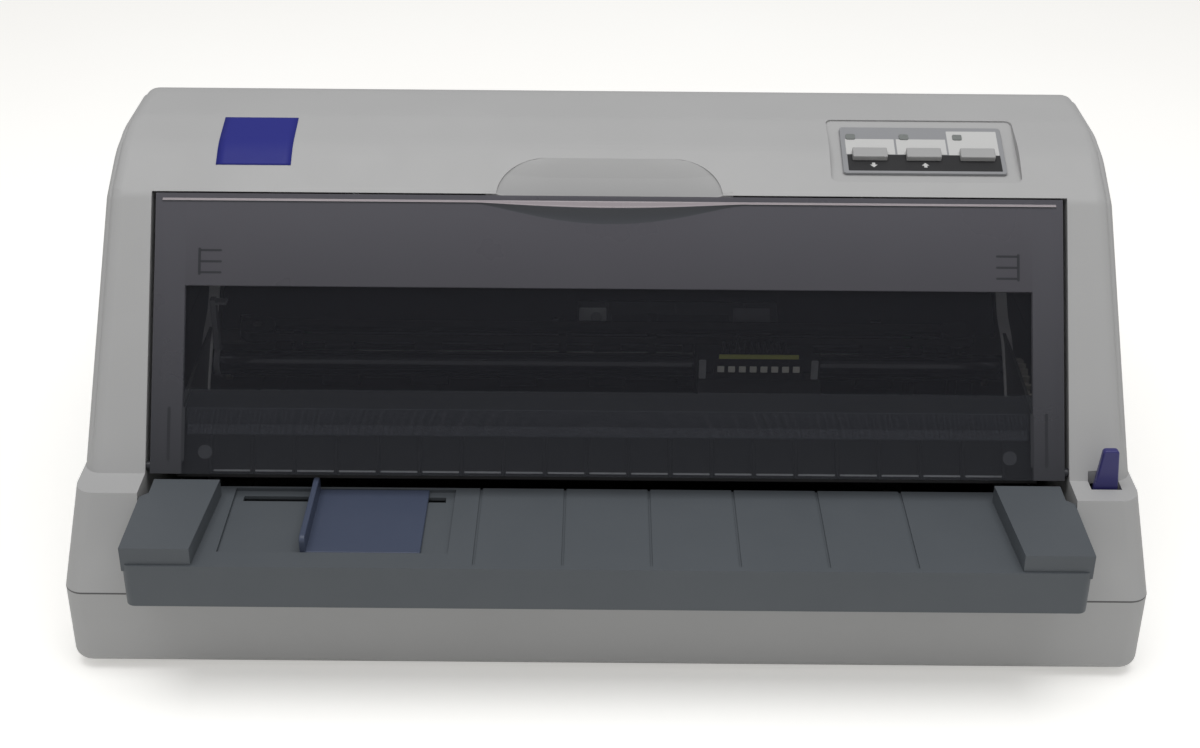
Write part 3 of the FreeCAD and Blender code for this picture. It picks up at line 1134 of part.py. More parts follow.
def paper_feed():
    """Two rubber feed rollers with their pinch rollers, and the gears on the right that turn them."""
    turns, gears = gear_turns(), gear_span()
    front_y = front_roll_y()
    bushes = []
    arms = []
    for name, y in (("front", front_y), ("rear", S.feed_y)):
        roller = new_body(name + "_feed_roller")
        toothed(roller, S.feed_teeth, gears)
        end = S.frame_inner + S.frame_plate
        pad(roller, "YZ_Plane", (-end, gears[0] + S.gear_width / 2), Circle(ZERO, ZERO, S.feed_shaft))
        first = -S.roll_pitch * (S.rolls - 1) / 2
        left, right = first - S.roll_length / 2, first + S.roll_length / 2
        roll = pad(roller, "YZ_Plane", (left, right), Circle(ZERO, ZERO, S.feed_roll))
        row_of(roller, roll, S.roll_pitch, S.rolls)
        keep(name + "_feed_roller", place(roller, ZERO, y, S.feed_z, as_size(turns[name])))
        pinch = new_body(name + "_pinch_rollers")
        pinch_z = S.bed_height + S.slide_gap + S.pinch_roll
        far = S.pinch_arm_x + S.pinch_arm
        turned(pinch, [(-far, ZERO), (-far, S.pinch_shaft), (far, S.pinch_shaft), (far, ZERO)])
        left, right = first - S.pinch_length / 2, first + S.pinch_length / 2
        roll = pad(pinch, "YZ_Plane", (left, right), Circle(ZERO, ZERO, S.pinch_roll))
        row_of(pinch, roll, S.roll_pitch, S.rolls)
        keep(name + "_pinch_rollers", place(pinch, ZERO, y, pinch_z))
        for _, sign in mirrored_sides():
            bush = new_body("bush")
            near, far_x = between(sign, S.frame_inner - S.bush_length / 2, S.frame_inner + S.frame_plate)
            pad(bush, "YZ_Plane", (near, far_x), Circle(y, S.feed_z, S.bush_radius - S.running_gap),
                Circle(y, S.feed_z, S.feed_shaft + S.running_gap))
            bushes.append(bush)
            for middle in (S.pinch_arm_x * sign, S.roll_pitch / 2 * sign):
                arms.append(pinch_arm(name, middle, y, pinch_z))
    group("roller_bushes", *bushes)
    group("pinch_holders", *arms)
    motor_y, motor_z = motor_axis()
    motor = new_body("feed_motor")
    end = S.frame_inner
    turned(motor, [(end - S.feed_motor_length, ZERO),
                   (end - S.feed_motor_length, S.feed_motor_radius - S.plate_thickness),
                   (end - S.feed_motor_length + S.plate_thickness, S.feed_motor_radius),
                   (end, S.feed_motor_radius),
                   (end, ZERO)])
    pocket(motor, "YZ_Plane", (end - S.spindle_depth, end + S.overrun),
           Circle(ZERO, ZERO, S.stud_radius + S.running_gap))
    keep("feed_motor", place(motor, ZERO, motor_y, motor_z))


def under_inner_cover(y):
    fall = sine(S.inner_cover_slope) / cosine(S.inner_cover_slope)
    return S.inner_cover_height + (y - S.inner_cover_front) * fall


def pinch_arm(name, middle, y, z):
    """One arm that carries a pinch roller's shaft from the guide or the cover above it."""
    arm = new_body("pinch_arm")
    half = S.pinch_arm / 2
    if name == "front":
        near_top = far_top = on_cover(S.entry_high, S.entry_back)[1] - S.entry_skin
    else:
        near_top, far_top = under_inner_cover(y - half), under_inner_cover(y + half)
    outline = [(y - half, z - half), (y + half, z - half), (y + half, far_top), (y - half, near_top)]
    pad(arm, "YZ_Plane", (middle - half, middle + half), outline)
    pocket(arm, "YZ_Plane", (middle - S.pinch_arm, middle + S.pinch_arm),
           Circle(y, z, S.pinch_shaft + S.running_gap))
    return arm


def gear_span():
    low = S.frame_inner + S.frame_plate + S.gear_gap
    return low, low + S.gear_width


def gear_turns():
    """How far each gear is turned about X so that its teeth stand in its neighbour's gaps."""
    chain = S.chain_angle.value
    turns = {"pinion": 0}
    turns["reduction"] = meshed_turn(turns["pinion"], S.pinion_teeth, S.reduction_teeth,
                                     S.pinion_angle.value + 180)
    turns["rear"] = meshed_turn(turns["reduction"], S.reduction_teeth, S.feed_teeth,
                                S.reduction_angle.value + 180)
    turns["linking"] = meshed_turn(turns["rear"], S.feed_teeth, S.linking_teeth, 180)
    turns["front"] = meshed_turn(turns["linking"], S.linking_teeth, S.feed_teeth, 180)
    turns["first"] = meshed_turn(turns["reduction"], S.reduction_teeth, S.tractor_teeth, chain)
    turns["second"] = meshed_turn(turns["first"], S.tractor_teeth, S.tractor_teeth, chain)
    turns["tractor"] = meshed_turn(turns["second"], S.tractor_teeth, S.drive_teeth, chain)
    return turns


def gear_train():
    """Loose gears on studs of the right side frame, and the motor's pinion on its spindle."""
    turns, gears = gear_turns(), gear_span()
    linking = ((front_roll_y() + S.feed_y) / 2, S.feed_z)
    table = (("motor_pinion", motor_axis(), S.pinion_teeth, "pinion"),
             ("reduction_gear", reduction_axis(), S.reduction_teeth, "reduction"),
             ("linking_gear", linking, S.linking_teeth, "linking"),
             ("first_tractor_gear", first_tractor_axis(), S.tractor_teeth, "first"),
             ("second_tractor_gear", second_tractor_axis(), S.tractor_teeth, "second"))
    for name, (y, z), teeth, key in table:
        gear = new_body(name)
        if key == "pinion":
            toothed(gear, teeth, gears)
            foot = S.frame_inner - S.spindle_depth + S.slide_gap
            pad(gear, "YZ_Plane", (foot, gears[0] + S.gear_width / 2), Circle(ZERO, ZERO, S.stud_radius))
        else:
            toothed(gear, teeth, gears, S.stud_radius + S.running_gap)
        keep(name, place(gear, ZERO, y, z, as_size(turns[key])))


def tractor_shafts():
    """A square drive shaft that turns the tractors' wheels, and the round shaft that they slide on."""
    gears = gear_span()
    y, z = tractor_axis()
    drive = new_body("tractor_drive_shaft")
    toothed(drive, S.drive_teeth, gears)
    half = S.square_side / 2
    end = S.frame_inner + S.frame_plate
    pad(drive, "YZ_Plane", (-S.frame_inner + S.slide_gap, S.frame_inner - S.bush_length),
        [(-half, -half), (half, -half), (half, half), (-half, half)])
    for low, high in ((-end, -S.frame_inner + S.bush_length),
                      (S.frame_inner - S.bush_length, gears[0] + S.gear_width / 2)):
        pad(drive, "YZ_Plane", (low, high), Circle(ZERO, ZERO, S.bush_radius - S.running_gap))
    keep("tractor_drive_shaft", place(drive, ZERO, y, z, as_size(gear_turns()["tractor"])))
    guide_y = y + S.guide_shaft_gap
    keep("tractor_guide_shaft", rod("tractor_guide_shaft", "x", (-end, end), (guide_y, z),
                                    S.guide_shaft_radius))


def tractors():
    """Two tractors, each with a pin wheel and a cover flap that is hinged along its outer edge."""
    y, z = tractor_axis()
    guide_y = y + S.guide_shaft_gap
    half = S.square_side / 2
    for side, sign in mirrored_sides():
        middle = S.tractor_x * sign
        unit = new_body(side + "_tractor")
        front, back = y - S.tractor_front, guide_y + S.tractor_back
        low, high = z - S.tractor_low, z + S.tractor_high
        outline = [(front, low, S.plate_thickness * 2), (back, low, S.plate_thickness * 2),
                   (back, high, S.plate_thickness), (front, high, S.plate_thickness)]
        wheel = S.wheel_width / 2 + S.slide_gap
        edge = S.tractor_width / 2
        pad(unit, "YZ_Plane", (middle - edge, middle + edge), outline)
        bore = S.wheel_radius + S.pin_height + S.slide_gap
        pocket(unit, "YZ_Plane", (middle - wheel, middle + wheel), Circle(y, z, bore))
        corner = S.square_side * (math.sqrt(2) / 2) + S.slide_gap
        pocket(unit, "YZ_Plane", (middle - edge - S.overrun, middle + edge + S.overrun),
               Circle(y, z, corner),
               Circle(guide_y, z, S.guide_shaft_radius + S.running_gap))
        hinge_x = middle + sign * (edge + S.slide_gap + S.flap_knuckle)
        hinge_z = high + S.slide_gap + S.flap_thickness / 2
        span = between(sign, middle * sign + edge - S.flap_pin, hinge_x * sign + S.flap_pin)
        for near, far in ((front, front + S.flap_lug), (back - S.flap_lug, back)):
            pad(unit, "XZ_Plane", (near, far), [(span[0], high - S.flap_lug), (span[1], high - S.flap_lug),
                                                (span[1], hinge_z + S.flap_pin),
                                                (span[0], hinge_z + S.flap_pin)])
        pad(unit, "XZ_Plane", (front + S.flap_pin, back - S.flap_pin), Circle(hinge_x, hinge_z, S.flap_pin))
        keep(side + "_tractor", unit)
        sprocket = new_body(side + "_tractor_wheel")
        hub = S.wheel_width / 2
        square_gap = half + S.slide_gap / 2
        pad(sprocket, "YZ_Plane", (-hub, hub), Circle(ZERO, ZERO, S.wheel_radius),
            [(-square_gap, -square_gap), (square_gap, -square_gap), (square_gap, square_gap),
             (-square_gap, square_gap)])
        pin = S.pin_width / 2
        top = S.wheel_radius + S.pin_height
        tooth = pad(sprocket, "YZ_Plane", (-pin, pin),
                    [(-pin, S.wheel_radius - pin), (pin, S.wheel_radius - pin), (pin / 2, top),
                     (-pin / 2, top)])
        ring_of(sprocket, tooth, S.pin_count)
        keep(side + "_tractor_wheel", place(sprocket, middle, y, z, as_size(gear_turns()["tractor"])))
        flap = new_body(side + "_tractor_cover")
        flap_low = high + S.slide_gap
        flap_high = flap_low + S.flap_thickness
        lid_x = between(sign, middle * sign - edge, hinge_x * sign - S.flap_pin - S.slide_gap / 2)
        near, far = front + S.flap_lug + S.slide_gap, back - S.flap_lug - S.slide_gap
        pad(flap, "XY_Plane", (flap_low, flap_high),
            [(lid_x[0], near), (lid_x[1], near), (lid_x[1], far), (lid_x[0], far)])
        pad(flap, "XZ_Plane", (near, far), Circle(hinge_x, hinge_z, S.flap_knuckle))
        pocket(flap, "XZ_Plane", (near - S.overrun, far + S.overrun),
               Circle(hinge_x, hinge_z, S.flap_pin + S.running_gap))
        slot = S.pin_width / 2 + S.slide_gap * 2
        pocket(flap, "XY_Plane", (flap_low - S.overrun, flap_high + S.overrun),
               [(middle - slot, y - bore), (middle + slot, y - bore), (middle + slot, y + bore),
                (middle - slot, y + bore)])
        keep(side + "_tractor_cover", flap)


def rear_parts():
    """The ribbed floor that paper follows to the rear, and the lid over the tractors."""
    floor = new_body("rear_guide")
    half = S.bay_half_width - S.slide_gap
    top = S.bed_height - S.guide_rib_height
    skin = S.guide_floor_skin
    start = S.feed_y + S.feed_roll + S.bush_length
    back_top = S.bay_floor + skin + S.slide_gap
    drop = REAR - S.stay_depth
    pad(floor, "YZ_Plane", (-half, half),
        [(start, top - skin), (start, top), (drop, top, S.boss_radius), (REAR - S.slide_gap, back_top),
         (REAR - S.slide_gap, back_top - skin), (drop, top - skin, S.boss_radius)])
    first = -S.guide_rib_pitch * (S.guide_ribs - 1) / 2
    rib = pad(floor, "YZ_Plane", (first - S.guide_rib / 2, first + S.guide_rib / 2),
              [(start, top - skin / 2), (drop - S.stay_depth, top - skin / 2), (drop - S.stay_depth, top),
               (drop - S.stay_depth - S.guide_rib_height, S.bed_height - S.slide_gap),
               (start + S.guide_rib_height, S.bed_height - S.slide_gap),
               (start, top)])
    row_of(floor, rib, S.guide_rib_pitch, S.guide_ribs)
    keep("rear_guide", floor)
    lid = new_body("rear_cover")
    half = S.bay_half_width - S.lid_gap
    front, skin = S.bay_front + S.lid_front_gap, S.rear_skin
    back = REAR
    pad(lid, "YZ_Plane", (-half, half),
        [(front, rear_slope(front)), (back, S.rear_top_height, S.rear_radius), (back, S.rear_cover_low),
         (back - skin, S.rear_cover_low), (back - skin, S.rear_top_height - skin, S.rear_radius - skin),
         (front, rear_slope(front) - skin)])
    y, z = lid_pivot()
    for _, sign in mirrored_sides():
        pin = between(sign, half - skin, S.bay_half_width + S.liner)
        pad(lid, "YZ_Plane", pin, Circle(y, z, S.lid_pin))
    keep("rear_cover", lid)
    sheet_body = place(new_body("inner_cover"), ZERO, S.inner_cover_front, S.inner_cover_height,
                       S.inner_cover_slope)
    half = S.frame_inner
    pad(sheet_body, "XY_Plane", (ZERO, S.inner_cover_skin),
        [(-half, ZERO), (half, ZERO), (half, S.inner_cover_length), (-half, S.inner_cover_length)])
    hatch_low, hatch_high = S.cover_hatch_up, S.cover_hatch_up + S.cover_hatch_height
    holes = [[(S.cover_hatch_left, hatch_low), (S.cover_hatch_right, hatch_low),
              (S.cover_hatch_right, hatch_high),
              (S.cover_hatch_left, hatch_high)]]
    for share in SIGHT_HOLE_SHARES:
        x = half * share
        holes.append([(x, S.sight_hole_up), (x + S.sight_hole, S.sight_hole_up),
                      (x + S.sight_hole, S.sight_hole_up + S.sight_hole),
                      (x, S.sight_hole_up + S.sight_hole)])
    pocket(sheet_body, "XY_Plane", (-S.overrun, S.inner_cover_skin + S.overrun), *holes)
    keep("inner_cover", sheet_body)


def electronics():
    """Main board with its two sockets, the supply board with the mains inlet, and the power switch."""
    seat, top = S.board_seat, S.board_seat + S.board_thickness
    board = new_body("main_board_plate")
    pad(board, "XY_Plane", (seat, top),
        [(S.main_board_left, S.board_front), (S.main_board_right, S.board_front),
         (S.main_board_right, S.board_back), (S.main_board_left, S.board_back)])
    middle = (S.main_board_left + S.main_board_right) / 2
    chip = S.chip_half
    for across, along, share in CHIP_SHARES:
        pad(board, "XY_Plane", (top - S.board_thickness / 2, top + S.chip_height),
            square(middle + chip * across, S.board_front + chip * along, chip * share))
    keep("main_board", board)
    back = REAR - S.rear_gap
    blocks = []
    for left, width, tall in ((S.port_left, S.port_width, S.port_height),
                              (S.port_left + S.port_width + S.usb_gap, S.usb_width, S.port_height)):
        shell = new_body("port")
        high = top + tall - S.rear_gap
        pad(shell, "XZ_Plane", (back - S.port_depth, back),
            [(left, top), (left + width, top), (left + width, high, S.plate_thickness),
             (left, high, S.plate_thickness)])
        wall = S.plate_thickness
        tongue = wall * 3
        pocket(shell, "XZ_Plane", (back - S.port_depth / 2, back + S.overrun),
               [(left + wall, top + wall), (left + width - wall, top + wall),
                (left + width - wall, high - wall),
                (left + wall, high - wall)])
        pad(shell, "XZ_Plane", (back - S.port_depth / 2 - wall, back - wall),
            [(left + tongue, top + tongue), (left + width - tongue, top + tongue),
             (left + width - tongue, high - tongue), (left + tongue, high - tongue)])
        blocks.append(shell)
    group("data_ports", *blocks)
    supply = new_body("power_supply_plate")
    pad(supply, "XY_Plane", (seat, top), [(S.supply_left, S.board_front), (S.supply_right, S.board_front),
                                          (S.supply_right, S.board_back), (S.supply_left, S.board_back)])
    middle = (S.supply_left + S.supply_right) / 2
    for across, along, share in CAN_SHARES:
        pad(supply, "XY_Plane", (top - S.board_thickness / 2, top + S.can_height),
            square(middle + chip * across, S.board_front + chip * along, chip * share))
    across, along, share = ROUND_CAN_SHARES
    can = Circle(middle + chip * across, S.board_front + chip * along, chip * share)
    pad(supply, "XY_Plane", (top - S.board_thickness / 2, top + S.can_height), can)
    keep("power_supply", supply)
    inlet = new_body("power_inlet")
    left, right = S.inlet_x - S.inlet_width / 2, S.inlet_x + S.inlet_width / 2
    low, high = S.inlet_low, S.inlet_low + S.inlet_height
    wall = S.inlet_wall
    pad(inlet, "XZ_Plane", (back - S.inlet_depth, back),
        [(left, low, wall), (right, low, wall), (right, high, wall * 2), (left, high, wall * 2)])
    pocket(inlet, "XZ_Plane", (back - S.inlet_depth + wall, back + S.overrun),
           [(left + wall, low + wall), (right - wall, low + wall), (right - wall, high - wall, wall),
            (left + wall, high - wall, wall)])
    for step in THREE_IN_A_ROW:
        x = S.inlet_x + S.inlet_width / 4 * step
        z = low + S.inlet_height / 2 + (wall if step == 0 else -wall)
        blade = [(x - wall / 2, z - wall), (x + wall / 2, z - wall), (x + wall / 2, z + wall),
                 (x - wall / 2, z + wall)]
        pad(inlet, "XZ_Plane", (back - S.inlet_depth + wall / 2, back - wall * 2), blade)
    flange = [(left - wall, low - wall), (right + wall, low - wall), (right + wall, high + wall),
              (left - wall, high + wall)]
    hole = [(left + wall, low + wall), (right - wall, low + wall), (right - wall, high - wall),
            (left + wall, high - wall)]
    pad(inlet, "XZ_Plane", (REAR - S.wall - S.plate_thickness, REAR - S.wall), flange, hole)
    keep("power_inlet", inlet)
    housing = new_body("power_switch")
    half_y, half_z = S.rocker_width / 2 + S.switch_wall, S.rocker_length / 2 + S.switch_wall
    face = -HALF_WIDTH + S.wall / 4
    back_x = face + S.switch_depth
    y, z = S.rocker_y, S.rocker_z
    fit = S.slide_gap
    pad(housing, "YZ_Plane", (face, back_x),
        [(y - half_y + fit, z - half_z + fit), (y + half_y - fit, z - half_z + fit),
         (y + half_y - fit, z + half_z - fit), (y - half_y + fit, z + half_z - fit)])
    seat, rim = -HALF_WIDTH + S.wall, S.plate_thickness
    pad(housing, "YZ_Plane", (seat, seat + S.plate_thickness),
        [(y - half_y - rim, z - half_z - rim), (y + half_y + rim, z - half_z - rim),
         (y + half_y + rim, z + half_z + rim), (y - half_y - rim, z + half_z + rim)])
    wall = S.switch_wall
    pocket(housing, "YZ_Plane", (face - S.overrun, back_x - wall),
           [(y - half_y + wall, z - half_z + wall), (y + half_y - wall, z - half_z + wall),
            (y + half_y - wall, z + half_z - wall), (y - half_y + wall, z + half_z - wall)])
    pin_x = face + S.rocker_in
    pad(housing, "XZ_Plane", (y - half_y + wall / 2, y + half_y - wall / 2), Circle(pin_x, z, S.rocker_pin))
    keep("power_switch", housing)
    rocker = new_body("power_rocker")
    half_y, half_z = S.rocker_width / 2 - fit, S.rocker_length / 2 - fit * 2
    depth = S.rocker_depth
    lean = S.rocker_depth / 4
    pad(rocker, "XZ_Plane", (-half_y, half_y),
        [(-S.rocker_in + lean / 4, -half_z), (-S.rocker_in + lean, ZERO), (-S.rocker_in + lean / 4, half_z),
         (ZERO, half_z), (depth / 2, half_z / 2), (depth / 2, -half_z / 2), (ZERO, -half_z)])
    pocket(rocker, "XZ_Plane", (-half_y - S.overrun, half_y + S.overrun),
           Circle(ZERO, ZERO, S.rocker_pin + S.running_gap))
    keep("power_rocker", place(rocker, pin_x, y, z, S.rocker_lean, axis=(0, 1, 0)))


def finish():
    """Checks every object, then writes each sub-part to its own file."""
    doc.recompute()
    for thing in doc.Objects:
        if "Invalid" in thing.State or "Error" in thing.State:
            raise RuntimeError(f"{thing.Name} is {thing.State}")
    for thing in doc.Objects:
        if thing.TypeId == "PartDesign::Pocket" and thing.BaseFeature is not None:
            if thing.Shape.Volume >= thing.BaseFeature.Shape.Volume:
                raise RuntimeError(f"{thing.Name} cuts nothing")
    os.makedirs("parts", exist_ok=True)
    for thing in nodes:
        if thing.Shape.isNull() or not thing.Shape.isValid() or not thing.Shape.Solids:
            raise RuntimeError(f"{thing.Label} has no valid solid")
    for thing in nodes:
        thing.Shape.exportStep(f"parts/{thing.Label}.step")
        print(thing.Label, len(thing.Shape.Solids), round(thing.Shape.Volume))
    print(len(nodes), "sub-parts")


lower_case()
feet_and_screws()
upper_case()
paper_tray()
edge_guide()
front_cover()
entry_guide()
panel()
release_lever()
chassis()
print_line()
carriage()
carriage_drive()
paper_feed()
gear_train()
tractor_shafts()
tractors()
rear_parts()
electronics()
finish()
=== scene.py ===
import json
import math

import bmesh
import bpy
import numpy as np
from mathutils import Matrix, Vector


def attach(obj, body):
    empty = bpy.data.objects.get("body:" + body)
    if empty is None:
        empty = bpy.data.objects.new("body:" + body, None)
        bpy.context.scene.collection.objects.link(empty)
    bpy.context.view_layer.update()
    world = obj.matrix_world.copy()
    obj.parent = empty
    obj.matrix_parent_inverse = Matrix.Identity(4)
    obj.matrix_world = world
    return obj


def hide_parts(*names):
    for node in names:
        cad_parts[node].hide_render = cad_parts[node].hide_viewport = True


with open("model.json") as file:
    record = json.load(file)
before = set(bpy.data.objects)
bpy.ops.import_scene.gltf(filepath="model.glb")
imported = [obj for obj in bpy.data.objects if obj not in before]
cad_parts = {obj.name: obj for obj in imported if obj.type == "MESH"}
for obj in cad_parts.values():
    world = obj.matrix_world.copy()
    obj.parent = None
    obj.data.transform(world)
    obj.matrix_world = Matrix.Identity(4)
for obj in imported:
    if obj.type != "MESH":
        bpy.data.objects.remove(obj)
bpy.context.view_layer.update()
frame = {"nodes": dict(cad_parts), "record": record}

bl_info = {
    "name": "Flatbed dot matrix printer",
    "version": (1, 0, 0),
    "blender": (4, 5, 0),
    "location": "3D View > Sidebar > Printer",
    "description": "Finishes the printer's solids and builds the pieces that the solids leave plain",
    "category": "Object",
}

MM = 0.001

# Points of a mesh that count as one, in metres; the angles up to which faces are one flat, and from which
# an edge is sharp
MERGE_DISTANCE = 2e-6
FLAT_ANGLE = math.radians(0.5)
CREASE_ANGLE = math.radians(30)

# The sizes below are in millimetres.
# Side view of the housing: the front slope's foot and top, the brow, the crown and the rear slope
SLOPE_FOOT = (-145.6, 83.0)
SLOPE_TOP = (-79.79, 186.3)
BROW = (-57.79, 200.5)
CROWN = (-35.79, 205.5)
CROWN_BACK = (0.21, 205.5)
REAR_TOP = (201.0, 118.0)
REAR_FOOT = (201.0, 41.0)
# Front view of the housing's right side: at the ledge, and at the top
SIDE_LOW = (227.5, 83.0)
SIDE_HIGH = (220.0, 206.1)
# Distance over which the side view's planes blend into each other, and height that the rounding fades in over
BLEND = 2.0
FADE = 16.0
# Groove between the housing's two halves: its height, and half the height of the shade painted along it
SEAM_HEIGHT = 41.0
SEAM_HALF = 0.4

# Slopes of the front cover, the control panel and the inner cover, and where the last two lie
COVER_ANGLE = math.radians(57.5)
PANEL_ANGLE = math.radians(22)
PANEL_CENTRE = (139.4, -54.0, 198.6)
INNER_ANGLE = math.radians(33)
INNER_COVER = (-26.0, 90.0)

# Scoop over the grip, as modelled on the brow: half widths at its foot and top, reach, corner and depth
SCOOP_HALF = 49
SCOOP_TOP_HALF = 31
SCOOP_REACH = 20
SCOOP_CORNER = 18
SCOOP_DEPTH = 7
# Scoop as finished: half its flat middle, the quarter ellipse beside that, and the power of the floor's rise
OVAL_FLAT = 27.6
OVAL_SIDE = 22
OVAL_POWER = 6
# Zone that the scoop's finish may move: beside it, below and outside it, past its top, and into the housing
SCOOP_FADE = 8
SCOOP_MARGIN = 3
SCOOP_SLACK = 0.3
SCOOP_INSIDE = 12
# Cuts across the scoop, by their distance from the middle
SCOOP_CUTS = (15, 25, 31, 36, 40, 43, 46, 57)

# Front cover: depth of its skin, beyond which a face belongs to a rib
COVER_SKIN = 2.7
# Raised lip below the cover's top edge: height of its top up the cover, then its ridge's height up the cover,
# its foot's distance below the ridge and its rise, each with what the finger grip in the middle adds
GRIP_TOP = 120.4
GRIP_RIDGE = (119.2, -2.2)
GRIP_FOOT = (0.6, 6.6)
GRIP_RISE = (0.6, 1.9)
# Half lengths of the finger grip and of the whole lip, power of the grip's swell, and depth that the lip is
# sunk by
GRIP_HALF = 58
GRIP_LIP_HALF = 195
GRIP_POWER = 1.3
GRIP_SUNK = 0.02
# Dark plates on the cover's face, painted as the shade of the ribs behind it: distance from the middle,
# height up the cover, half width, half height
RIB_SHADES = [(178.4, 92.5, 0.6, 6.0), (173.4, 97.4, 4.7, 0.5), (173.4, 92.5, 4.7, 0.5),
             (173.4, 87.7, 4.7, 0.5), (190.2, 17.3, 0.7, 11.7), (184.0, 17.3, 0.7, 11.7)]
RIB_SHADE_OUT = 0.02
# Boss that shows through the cover's foot, in the same order
PIVOT_BOSS = (175, 9.6, 3, 3)
PIVOT_BOSS_OUT = -3.4
# Thickness of these marks, and their corner radius as a share of the smaller half size
MARK_THICKNESS = 0.1
MARK_CORNER = 0.9

# Lower edges of the ribbed guide, one between each two ribs, pale as their painted highlight: height up the
# cover, distance out, number, pitch, distance from a rib's middle, width that a rib takes, half height,
# corner radius, half thickness
GUIDE_LIP_UP = 1.7
GUIDE_LIP_OUT = -10.4
GUIDE_LIP_COUNT = 19
GUIDE_LIP_PITCH = 18.3
GUIDE_LIP_START = 1.4
GUIDE_LIP_GAP = 2.2
GUIDE_LIP_HALF = 0.38
GUIDE_LIP_CORNER = 0.3
GUIDE_LIP_THICK = 0.5

# Front edge of a side frame: its side view, its span across, its thickness, and half the length that the side
# view's corners are smoothed over
FRAME_EDGE = [(-66, 76), (-62, 82), (-46, 98), (-30, 104), (-12, 122)]
FRAME_EDGE_SPAN = (187.7, 192.7)
FRAME_EDGE_THICKNESS = 1.4
FRAME_EDGE_SMOOTH = 3

# Printed fields of the control panel: middle across and up, half width and half height, and their print
PANEL_FIELDS = [("panel_field_left", (-23.2, 2.0), (10.9, 4.8), "white"),
                ("panel_field_middle", (-0.3, 2.0), (11.05, 4.8), "white"),
                ("panel_field_right", (22.8, 4.5), (11.2, 7.6), "white"),
                ("panel_band", (0.2, -8.1), (34.0, 5.0), "black")]
PRINT_CORNER = 0.3
PRINT_LEVELS = (-0.05, 0.06)
# Arrows on the panel's band: outline of one that points down, height up the panel, and level of the print
ARROW = [(-0.7, 1.4), (0.7, 1.4), (0.7, 0.2), (1.7, 0.2), (0, -1.5), (-1.7, 0.2), (-0.7, 0.2)]
ARROW_UP = -9.6
ARROW_LEVEL = 0.09
# Place of each arrow across the panel, and 1 where it points down or -1 where it points up
ARROWS = [("panel_arrow_down", -22.5, 1), ("panel_arrow_up", 0.4, -1)]
# Lamps: places across, height up the panel, half sizes, corner radius and levels
LAMPS = (-31.6, -7.7, 16.2)
LAMP_UP = 8
LAMP_HALF = (2.1, 1.6)
LAMP_CORNER = 0.8
LAMP_LEVELS = (-0.05, 0.5)
# Badge: reach up the brow from the slope's top, height, how far it stands out, sides, thickness, and half the
# length that the brow's corners are smoothed over
BADGE_UP = 14.8
BADGE_HEIGHT = 32.5
BADGE_PROUD = 0.35
BADGE_ACROSS = (-173.5, -140.5)
BADGE_THICKNESS = 0.8
BADGE_SMOOTH = 5.3

# Hatch of the inner cover: spans across, up its slope and outward, slot, and display colour
HATCH_PIECES = [("hatch_plate", (-14.0, -0.6), (5.0, 16.5), (-4.0, -3.0), "zinc_steel", (205, 208, 212)),
                ("hatch_block", (2.0, 60.0), (6.5, 13.5), (-5.0, -3.6), "black_plastic", (58, 60, 64)),
                ("hatch_bar", (62.0, 80.0), (5.0, 17.0), (-4.5, -3.2), "black_plastic", (130, 132, 138))]
HATCH_CORNER = 0.8
# Screw heads on the inner cover: places across, up and outward, radius, levels and broken edge
SCREWS = [("hatch_screw", (-5.6, 11.0, -3.0)), ("plate_screw", (-170, 22.5, 0.0))]
SCREW_RADIUS = 2.6
SCREW_LEVELS = (-0.1, 1.1)
SCREW_EDGE = 0.3

# Plates on the carriage's front: middle across, up and forward, half sizes, corner radius, levels and finish
CARRIAGE_PLATES = [
    ("ribbon_strip", (70, 102.4, 71.4), (18.5, 1.2), 0.3, (-0.3, 0.3), "strip"),
    ("carriage_bracket_left", (44, 96.4, 72.2), (1.6, 4.8), 0.5, (-0.4, 0.5), "bracket"),
    ("carriage_bracket_right", (96, 96.4, 72.2), (1.6, 4.8), 0.5, (-0.4, 0.5), "bracket")]

# Nodes of the mechanism that get finely broken edges in the finish of their slot
BROKEN_NODES = ("carriage", "print_head", "inner_cover", "platen", "carriage_rail", "left_side_frame",
                "right_side_frame", "power_rocker", "power_switch", "power_inlet", "left_tractor",
                "right_tractor", "left_tractor_cover", "right_tractor_cover")
# Rounding of the release lever's edges, as a multiple of the other edges'
LEVER_ROUNDING = 1.6

# Depths of the surfaces' grain
MOULD_GRAIN = 0.03
SATIN_GRAIN = 0.01
SMOOTH_GRAIN = 0.005
PRINT_GRAIN = 0.004
LAMP_GRAIN = 0.002
METAL_GRAIN = 0.004
FOAM_GRAIN = 0.2

# Stage, in metres: the floor's spans, the softbox's place, target and size, and the camera's place
FLOOR_X = (-8, 8)
FLOOR_Y = (-6, 10)
KEY_PLACE = (0, -0.32, 1.45)
KEY_TARGET = (0, -0.02, 0.15)
KEY_SIZE = (1.5, 0.9)
CAMERA_PLACE = (-0.0035, -0.8241, 0.5101)
SENSOR_WIDTH = 36


def colour_property(name, description, value):
    """A colour that a user may change."""
    return bpy.props.FloatVectorProperty(name=name, description=description, subtype="COLOR", size=3,
                                         min=0, max=1, default=value)


def length_property(name, description, value):
    """A length in metres that a user may change."""
    return bpy.props.FloatProperty(name=name, description=description, subtype="DISTANCE", unit="LENGTH",
                                   min=0, default=value)


def srgb(*levels):
    """Scene linear colour of display levels from 0 to 255, by the usual display curve."""
    steps = np.array(levels) / 255
    return tuple(np.where(steps <= 0.04045, steps / 12.92, ((steps + 0.055) / 1.055) ** 2.4))


